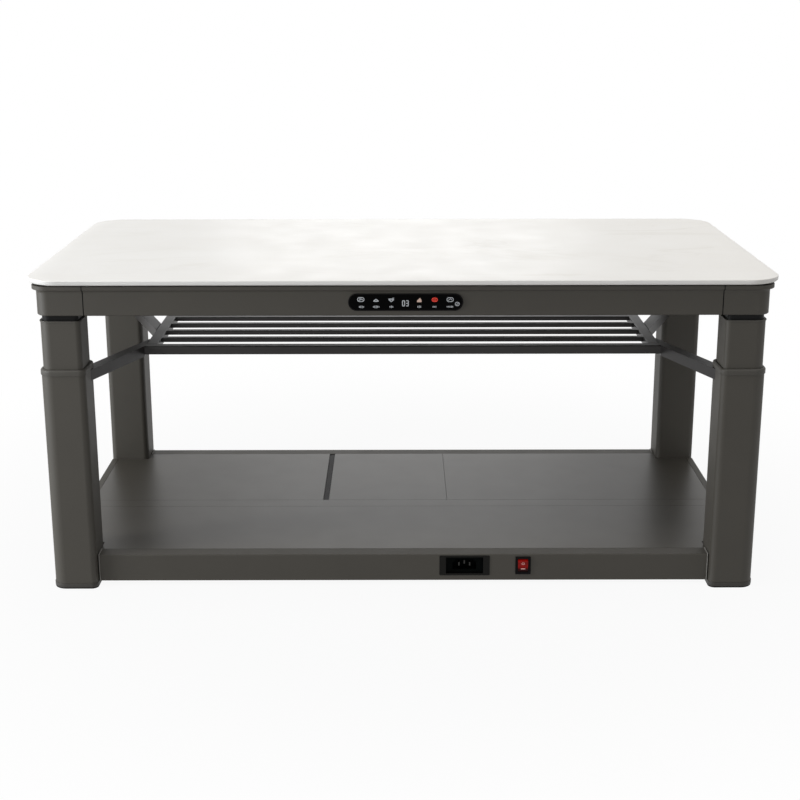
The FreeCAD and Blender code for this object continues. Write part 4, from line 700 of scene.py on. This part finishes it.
# %% The stone top
UPPER_EASE, LOWER_EASE, TOP_ROUND, FLAT_FROM = 1.4, 2.8, 57.0, -30
low, high = millimetres("tabletop_slab")
outline = rounded_loop(box_corners(*low[:2], *high[:2]), TOP_ROUND, steps=25)
edge = np.concatenate([
    [(FLAT_FROM, low[2])], lower_edge(0, low[2], LOWER_EASE, 9),
    upper_edge(0, high[2], UPPER_EASE, 7), [(FLAT_FROM, high[2])]])
piece("stone_top", [solid(carried(outline, edge))], "top", stone,
      ["tabletop_slab"])

# %% [markdown]
# The leg's section is a rounded square with one large corner, the one that points away from the
# table. Each leg is the same section turned by quarters, so it is written only once.

# %% Leg sections
LEG_PLACES = {"front_left": (-1, -1, 0), "front_right": (1, -1, 1),
              "rear_right": (1, 1, 2), "rear_left": (-1, 1, 3)}
low, high = millimetres("leg_outer_front_left")
LEG_X, LEG_Y = -(low + high)[:2] / 2
OUTER = ((high - low)[0] / 2, 21.0, 10.0)
low, high = millimetres("leg_middle_front_left")
MIDDLE = ((high - low)[0] / 2, 17.5, 8.0)


def leg_loop(corner, stage, proud):
    """A stage's section (half side, large and small radius), grown by proud, at its corner.

    It is drawn about the origin, turned by quarters and then moved to the leg's centre.
    """
    half, big, small = (size + proud for size in stage)
    points, normals = rounded_loop(box_corners(-half, -half, half, half),
                                   (big, small, small, small), steps=13)
    side_x, side_y, quarters = LEG_PLACES[corner]
    turn = np.linalg.matrix_power(np.array([[0.0, -1.0], [1.0, 0.0]]), quarters)
    place = np.array([LEG_X * side_x, LEG_Y * side_y])
    return points @ turn.T + place, normals @ turn.T


print("leg centre:", LEG_X, LEG_Y, "half sides:", OUTER[0], MIDDLE[0])

# %% [markdown]
# A collar closes the lower tube: a bead that stands a little proud, rounded at its top, with a
# sleeve below it that guides the next tube. A rim does the same on the middle tube, much lower and
# thinner. Both are one profile with other numbers.

# %% Collars and rims
BORE_EASE = 0.5
COLLAR_HEIGHT, COLLAR_PROUD, COLLAR_BEAD, COLLAR_BORE, COLLAR_SLEEVE = 10.0, 1.4, 3.4, -4.5, -3.6
RIM_HEIGHT, RIM_PROUD, RIM_BEAD, RIM_BORE, RIM_SLEEVE = 2.5, 1.2, 1.1, -3.85, -3.2


def guide_profile(bottom, top, inside, sleeve, sleeve_end, bead):
    """Section of a collar or rim: a bead outside, a bore inside and a sleeve below it."""
    return np.concatenate([
        lower_edge(0, bottom, 0.6), upper_edge(0, top, bead, 9),
        arc(inside + BORE_EASE, top - BORE_EASE, BORE_EASE, 90, 180, 4),
        [(inside, sleeve_end), (sleeve, sleeve_end), (sleeve, bottom)]])


low, high = millimetres("leg_collars")
collar = guide_profile(high[2] - COLLAR_HEIGHT, high[2], COLLAR_BORE, COLLAR_SLEEVE, low[2],
                       COLLAR_BEAD)
piece("collar_mouldings",
      [solid(carried(leg_loop(name, OUTER, COLLAR_PROUD), collar), ring=True)
       for name in CORNERS],
      "base", collar_moulding, ["leg_collars"])

for name in CORNERS:
    low, high = millimetres("leg_rim_" + name)
    rim = guide_profile(high[2] - RIM_HEIGHT, high[2], RIM_BORE, RIM_SLEEVE, low[2], RIM_BEAD)
    piece("rim_moulding_" + name,
          [solid(carried(leg_loop(name, MIDDLE, RIM_PROUD), rim), ring=True)],
          "middle_" + name, collar_moulding, ["leg_rim_" + name])

# %% [markdown]
# A shoe closes the foot: it wraps the end of the tube and has a plug inside it. It stands on a
# thin black sole, partly a rubber pad and partly painted shade: it draws the dark line of the
# contact shadow along the floor.

# %% Shoes and soles
SHOE_PROUD, SHOE_CAP, PLUG = 1.0, -5.5, -3.4
TUBE_END, SHOE_TOP, SOLE = 7.9, 9.0, 1.7
plug_top = millimetres("foot_caps")[1][2]
shoe_moulding = coated("shoe_moulding", (0.044, 0.041, 0.036), 0.50, grain=1.2, depth=0.02,
                       Specular_IOR_Level=0.3)
shoe = np.concatenate([
    [(SHOE_CAP, SOLE)], lower_edge(0, SOLE, 1.2, 6), upper_edge(0, SHOE_TOP, 0.4, 3),
    [(-0.9, SHOE_TOP - 0.2), (-0.95, TUBE_END), (PLUG, TUBE_END)],
    upper_edge(PLUG, plug_top, 0.6, 3), [(SHOE_CAP, plug_top)]])
sole = np.concatenate([[(SHOE_CAP, 0)], lower_edge(-0.4, 0, 0.6, 5),
                       [(-0.4, SOLE), (SHOE_CAP, SOLE)]])
foot_loops = [leg_loop(name, OUTER, SHOE_PROUD) for name in CORNERS]
piece("foot_shoes", [solid(carried(loop, shoe)) for loop in foot_loops],
      "base", shoe_moulding, ["foot_caps"])
# Partly painted shade: the black sole draws the contact shadow's dark line.
piece("foot_soles_and_contact_shade", [solid(carried(loop, sole)) for loop in foot_loops],
      "base", rubber)

# %% [markdown]
# The slab rests on soft strips that leave a dark line under its edge. They are extruded rubber
# with rounded flanks. The cross section is the outline here, and it is carried along the strip.

# %% Bedding strips
HALF_WIDTH, FLANK, LONG_HALF, SHORT_HALF = 6, 0.9, 545.5, 285.5
low, high = millimetres("slab_cushion_strips")


def strip(centre, half, along_x):
    """A rubber strip with rounded flanks, run along one axis between two ends."""
    section = rounded_loop(box_corners(centre - HALF_WIDTH, low[2], centre + HALF_WIDTH, high[2]),
                           FLANK, steps=5)
    grid = carried(section, [(0, -half), (0, half)])
    return solid(laid(grid, (0, 0, 0), Y if along_x else X, Z, X if along_x else Y))


strips = [strip((high[1] - HALF_WIDTH) * side, LONG_HALF, True) for side in (-1, 1)]
strips += [strip((high[0] - HALF_WIDTH) * side, SHORT_HALF, False) for side in (-1, 1)]
piece("bedding_strips", strips, "top", rubber, ["slab_cushion_strips"])

# %% [markdown]
# Each rail of the frame meets its corner castings at a narrow seam. A thin near black strip fills
# it as painted shade, so the seam reads as a clear dark line that follows the lip and the cove.
# The strip is the frame's own outer section, a hair proud of it, run along the rail for little
# more than the gap.

# %% Seam shade strips
rail_low, rail_high = millimetres("apron_front")
block_low = millimetres("corner_block_front_left")[0]
LIP, COVE, LIP_HEIGHT, HALF_GAP = 6.5, 5.2, 7.3, 0.4
PROUD, BEHIND, SHADE_STRIP_HALF = 0.06, -2.5, 0.8
FACE_X, FACE_Y = -block_low[0] - LIP, -block_low[1] - LIP
SEAM_X = rail_high[0] + HALF_GAP
SEAM_Y = millimetres("apron_left")[1][1] + HALF_GAP
under_lip = rail_high[2] - LIP_HEIGHT
seam_shade_section = rounded_loop([(BEHIND, rail_low[2]), (PROUD, rail_low[2]), (PROUD, under_lip),
                       (LIP + PROUD, under_lip), (LIP + PROUD, rail_high[2]),
                       (BEHIND, rail_high[2])], (0.2, 0.6, COVE, 0.9, 0.9, 0.2), steps=7)
run = carried(seam_shade_section, [(0, -SHADE_STRIP_HALF), (0, SHADE_STRIP_HALF)])
seams = []
for side in (-1, 1):
    for end in (-1, 1):
        for face, seam, out_way, along in ((FACE_Y, SEAM_X, Y, X), (FACE_X, SEAM_Y, X, Y)):
            seams.append(solid(laid(run, out_way * face * side + along * seam * end,
                                    out_way * side, Z, along)))
# Painted shade: near black strips draw the dark lines of the seams.
piece("seam_shade_strips", seams, "top", rubber)

# %% [markdown]
# Where the platform's long rails meet the legs, a slim bead closes the end of each rail and a
# near black strip fills the joint beside it. The bead is rounded in front and painted much paler
# than the frame, as a painted highlight, so it shows as a thin light line. The black strip is
# painted shade, the dark line of the joint beside the bead. Both are outlines seen from above,
# carried straight up, and together they fill the width of the solid that they stand for.

# %% Rail end beads
low, high = millimetres("fascia_end_trims")
TRIM_WIDTH, TRIM_DEPTH, BEAD, SET_BACK, STRIP_ROUND = 3.0, 28.5, 1.5, 1.6, 0.6
# Painted highlight: the bead's colour is far paler than the frame paint.
trim_highlight = coated("trim_highlight", (0.240, 0.230, 0.212), 0.42, grain=0.8, depth=0.015,
                    Specular_IOR_Level=0.35)


def rail_end(side_x, side_y, first, last, set_back):
    """An upright strip at one end of a rail; first and last are its reach beyond the rail."""
    start, end = sorted(side_x * (high[0] - TRIM_WIDTH + reach) for reach in (first, last))
    near, far = sorted((side_y * (high[1] - TRIM_DEPTH), side_y * (high[1] - set_back)))
    section = rounded_loop(box_corners(start, near, end, far), STRIP_ROUND, steps=6)
    return solid(carried(section, [(0, low[2]), (0, high[2] - set_back)]))


ends = [(side_x, side_y) for side_x in (-1, 1) for side_y in (-1, 1)]
piece("rail_end_beads", [rail_end(*one, 0, BEAD, 0) for one in ends], "base", trim_highlight,
      ["fascia_end_trims"])
# Painted shade: the near black strip draws the dark line of the joint.
piece("rail_end_shade_strips", [rail_end(*one, BEAD, TRIM_WIDTH, SET_BACK) for one in ends], "base",
      rubber)

# %% [markdown]
# The platform's heater is a pair of thin mats under the front deck. Each is glass cloth with a
# coating, rounded at its corners, and the heating wire lies in it as one closed loop that goes
# there and back in even turns, so it stands up as a low ridge. Only its outline is written: a comb
# with its teeth, whose corners are all rounded, and a round profile is carried along it.

# %% Heating mats
low, high = millimetres("foot_heating_mats")
MAT_INNER, MAT_ROUND, MAT_CAP = 110.0, 10.0, -9
WIRE, TURNS, MARGIN, BEND = 0.8, 7, 14.0, 4.5
cloth_top = high[2] - WIRE


def comb(low_x, low_y, high_x, high_y, turns):
    """Closed outline of a comb: a back along low X and teeth with equal gaps along X."""
    step = (high_y - low_y) / (turns * 2 - 1)
    outline = [(low_x, high_y), (low_x, low_y)]
    for turn in range(turns):
        base = low_y + step * 2 * turn
        outline += [(high_x, base), (high_x, base + step)]
        if turn < turns - 1:
            outline += [(low_x + step, base + step), (low_x + step, base + 2 * step)]
    return outline


mats = []
for side in (-1, 1):
    near, far = sorted((MAT_INNER * side, high[0] * side))
    cloth = rounded_loop(box_corners(near, low[1], far, high[1]), MAT_ROUND)
    mats.append(solid(carried(cloth, np.concatenate([
        [(MAT_CAP, low[2])], lower_edge(0, low[2], 0.6), upper_edge(0, cloth_top, 0.6),
        [(MAT_CAP, cloth_top)]]))))
    wire = rounded_loop(comb(near + MARGIN, low[1] + MARGIN, far - MARGIN, high[1] - MARGIN,
                             TURNS), BEND, steps=5)
    mats.append(solid(carried(wire, arc(0, cloth_top, WIRE, 0, 315, 8)), ring=True))
piece("foot_mat_heaters", mats, "base", glass_cloth, ["foot_heating_mats"])

# %% [markdown]
# The touch panel is a flat bar with round ends. Its bezel is a cup with a softly rounded rim, and
# the glass lies in it a hair below the rim. Both are the same outline, carried through profiles
# that run from back to front. The outline lies upright, so heights of the profile run along Y.

# %% Touch panel
RIM_OUT, RIM_DEPTH, GLASS_DEEPER, GLASS_THICK = 2.4, 1.6, 0.2, 1.4
BAR_CAP, NECK, BOWL, ROUND_SHARE = -10, -2.2, -1.8, 0.4975
bezel_low, bezel_high = millimetres("control_panel_bezel")
front, back = bezel_low[1], bezel_high[1]
apron_face = front + RIM_OUT
height = (bezel_high - bezel_low)[2]
bar = rounded_loop(box_corners(bezel_low[0], bezel_low[2], bezel_high[0], bezel_high[2]),
                   height * ROUND_SHARE, steps=21)
GLASS_FRONT = front + GLASS_DEEPER


def upright(grid):
    """Stand a grid up: its first two values become X and Z, and its height runs along Y."""
    return laid(grid, (0, 0, 0), X, Z, Y)


cup = np.concatenate([
    [(BAR_CAP, back), (NECK - 0.2, back), (NECK, back - 0.3), (NECK, apron_face),
     (-0.3, apron_face)],
    upper_edge(0, apron_face, 0.3)[::-1], lower_edge(0, front, 0.9, 7)[::-1],
    arc(BOWL + 0.4, front + 0.4, 0.4, -90, -180, 4),
    [(BOWL, front + RIM_DEPTH), (BAR_CAP, front + RIM_DEPTH)]])
piece("panel_bezel_cup", [solid(upright(carried(bar, cup)))], "top", black_moulding,
      ["control_panel_bezel"])
pane_back = GLASS_FRONT + GLASS_THICK
pane = np.concatenate([[(BAR_CAP, pane_back), (-2.0, pane_back)],
                       lower_edge(-2.0, GLASS_FRONT, 0.4, 5)[::-1], [(BAR_CAP, GLASS_FRONT)]])
piece("panel_glass_pane", [solid(upright(carried(bar, pane)))], "top", panel_glass,
      ["control_panel_glass"])

# %% [markdown]
# The signs are printed. The pane here is plain black right through, so each sign is a very thin
# solid on its front. A stroke is a bar with round ends between two points, a ring is a round
# outline with a hollow, and a patch is a filled shape. Places are given from the panel's middle.

# %% Printed marks
INK = 0.05
MIDDLE_X = (bezel_low[0] + bezel_high[0]) / 2
MIDDLE_Z = (bezel_low[2] + bezel_high[2]) / 2


def mark_profile(back, front, line):
    """Profile of a thin mark: filled over its outline, or a ring whose line is that wide."""
    wall = [(0, back), (0, front)]
    return wall if line is None else wall + [(-line, front), (-line, back)]


def printed(loop, line=None):
    """A thin solid over an outline on the glass, or a ring with a line of the given width."""
    profile = mark_profile(GLASS_FRONT + INK, GLASS_FRONT - INK, line)
    return solid(upright(carried(loop, profile)), ring=line is not None)


def stroke(start, end, width):
    """A printed bar with round ends between two points, given from the panel's middle."""
    start, end = (np.array(one, float) + (MIDDLE_X, MIDDLE_Z) for one in (start, end))
    ahead_way = (end - start) / np.linalg.norm(end - start) * width / 2
    side_way = np.array([ahead_way[1], -ahead_way[0]])
    ends = [start - ahead_way + side_way, end + ahead_way + side_way,
            end + ahead_way - side_way, start - ahead_way - side_way]
    return printed(rounded_loop(ends, width * 0.49, steps=4))


def ring(x, z, width, height, line):
    """A printed ring or oval about a point."""
    corners = box_corners(x - width / 2, z - height / 2, x + width / 2, z + height / 2)
    return printed(rounded_loop(np.array(corners) + (MIDDLE_X, MIDDLE_Z), height * 0.495, 9),
                   line)


def patch(corners, radius):
    """A printed filled shape with rounded corners."""
    return printed(rounded_loop(np.array(corners, float) + (MIDDLE_X, MIDDLE_Z), radius, 5))


print("panel's middle:", round(MIDDLE_X, 2), round(MIDDLE_Z, 2))

# %% [markdown]
# The signs say nothing particular: warm air, up and down on the left, a timer and a small crossed
# ring on the right, and a row of small bars under each key in place of a word.

# %% Pale signs
LABEL, PITCH, BAR = -7.2, 2.2, 1.15


def label(x, heights):
    """A row of small upright bars in place of a word, about the label's line."""
    first = x - PITCH * (len(heights) - 1) / 2
    return [patch(box_corners(first + PITCH * i - BAR / 2, LABEL - h / 2,
                              first + PITCH * i + BAR / 2, LABEL + h / 2), 0.3)
            for i, h in enumerate(heights)]


pale = [ring(-70.9, 4.6, 11.4, 7.6, 1.1), stroke((-74.0, 3.4), (-69.4, 5.2), 1.2),
        stroke((-69.4, 5.2), (-67.6, 3.6), 1.2), stroke((-73.2, 6.2), (-70.2, 6.8), 0.8)]
pale += [stroke((-50.4, 2.0), (-46.9, 5.0), 1.7), stroke((-46.9, 5.0), (-43.2, 2.0), 1.7),
         stroke((-48.8, 1.6), (-44.8, 1.6), 1.5)]
pale += [stroke((-26.4, 5.2), (-19.6, 5.2), 1.7), stroke((-26.2, 4.2), (-22.8, 1.2), 1.7),
         stroke((-22.8, 1.2), (-19.2, 4.2), 1.7), stroke((-20.6, 6.8), (-18.6, 6.8), 0.9)]
pale += [ring(70.3, 4.2, 11.2, 7.4, 1.0), stroke((67.2, 3.0), (71.2, 5.8), 0.9),
         stroke((71.2, 5.8), (73.2, 3.4), 0.8)]
pale += [ring(81.6, -2.8, 7.4, 6.4, 1.0), stroke((80.2, -4.2), (83.4, -1.4), 0.9)]
for x, heights in ((-69.8, (2.8, 4.0, 3.6, 2.4)), (-46.6, (2.6, 3.8, 4.2, 3.4, 2.4)),
                   (-22.6, (2.8, 3.8, 2.6)), (21.4, (2.6, 3.8, 3.2)), (45.6, (2.6, 2.2, 2.6)),
                   (70.0, (1.8, 2.4, 2.8, 3.2, 2.4))):
    pale += label(x, heights)
print("pale marks:", len(pale))

# %% [markdown]
# The display in the middle shows two figures of up to seven bars each. A flame and a heater that
# is on stand beside it in colours of their own, so they are pieces of their own.

# %% Figures and coloured signs
def digit(x, z, lit):
    """A figure of up to seven bars: top, two upper ones, middle, two lower ones, bottom."""
    bars = [((-1.1, 4.2), (1.1, 4.2)), ((-1.7, 0.7), (-1.7, 3.6)), ((1.7, 0.7), (1.7, 3.6)),
            ((-1.1, 0.0), (1.1, 0.0)), ((-1.7, -3.6), (-1.7, -0.7)), ((1.7, -3.6), (1.7, -0.7)),
            ((-1.1, -4.2), (1.1, -4.2))]
    move = np.array((x, z))
    return [stroke(np.array(bar[0]) + move, np.array(bar[1]) + move, 1.4)
            for bar, on in zip(bars, lit) if on]


pale += digit(-3.3, -1.6, (1, 1, 1, 0, 1, 1, 1)) + digit(2.5, -1.6, (1, 0, 1, 1, 0, 1, 1))
piece("panel_signs_pale", pale, "top", pale_ink)
flame = [(17.6, 0.2), (25.4, 0.2), (25.0, 3.4), (22.6, 7.6), (20.4, 4.6), (18.2, 3.4)]
piece("panel_sign_amber", [patch(flame, 0.8)], "top", amber_ink)
heater = [ring(45.9, 4.0, 9.2, 6.8, 1.0)] + [stroke((43.6, z), (48.2, z), 0.9)
                                             for z in (3.0, 5.0)]
piece("panel_sign_red", heater, "top", red_ink)

# %% [markdown]
# The rocker of the mains switch is one moulding: two front facets that meet in a shallow hollow,
# soft edges all round, and two pins that it tips on. Its outline is drawn from the side and
# carried along X. It is tilted as the switch is when it is on.

# %% Rocker switch
TILT = math.radians(10.0)
FLANGE, PIN_BEHIND = 1.8, 1.0
low, high = millimetres("switch_housing")
PIVOT = np.array([(low[0] + high[0]) / 2, low[1] + FLANGE + PIN_BEHIND, (low[2] + high[2]) / 2])
OUT = np.array([0.0, math.cos(TILT), math.sin(TILT)])
RISE = np.array([0.0, -math.sin(TILT), math.cos(TILT)])
FRONT, BACK, END, DIP = -5, 3, 10.02, 1.77
HALF_LONG, SIDE_ROUND, PIN, PIN_REACH = 8.2, 0.5, 1.5, 9.8
side_view = rounded_loop([(FRONT, -END), (BACK, -END), (BACK, END), (FRONT, END),
                          (DIP + FRONT, 0)], (0.9, 0.3, 0.3, 0.9, 3.0), steps=7)
across = np.concatenate([lower_edge(0, -HALF_LONG, SIDE_ROUND, 5),
                         upper_edge(0, HALF_LONG, SIDE_ROUND, 5)])
pin = rounded_loop(box_corners(-PIN, -PIN, PIN, PIN), PIN - 0.01, steps=7)
parts = [solid(laid(carried(side_view, across), PIVOT, OUT, RISE, X)),
         solid(laid(carried(pin, [(0, -PIN_REACH), (0, PIN_REACH)]), PIVOT, OUT, RISE, X))]
piece("rocker_key", parts, "rocker", lit_red, ["switch_rocker"])

# %% [markdown]
# A ring marks the upper end of the rocker and a bar its lower end. They are thin printed solids,
# laid on the two facets, so they tip with the key.

# %% Marks on the rocker
ROCKER_INK = 0.06


def facet_mark(loop, side, line=None):
    """A printed mark on the upper or lower facet of the rocker, whose middle is its origin."""
    slope = np.array([-DIP, END * side]) / math.hypot(DIP, END) * side
    along_facet = OUT * slope[0] + RISE * slope[1]
    out_of_facet = np.cross(X, along_facet)
    middle = PIVOT + OUT * (DIP / 2 + FRONT) + RISE * END * side / 2
    profile = mark_profile(-ROCKER_INK, ROCKER_INK, line)
    return solid(laid(carried(loop, profile), middle, X, along_facet, out_of_facet),
                 ring=line is not None)


round_mark = rounded_loop(box_corners(-2.7, -2.4, 2.7, 2.4), 2.38, steps=9)
bar_mark = rounded_loop(box_corners(-3.6, -0.75, 3.6, 0.75), 0.5, steps=5)
piece("rocker_marks", [facet_mark(round_mark, 1, 0.9), facet_mark(bar_mark, -1)], "rocker",
      white_ink)

# %% [markdown]
# The box is measured with all pieces in place.

# %% Size with all pieces
low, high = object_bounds()
print("box with the pieces:", tuple(high - low))
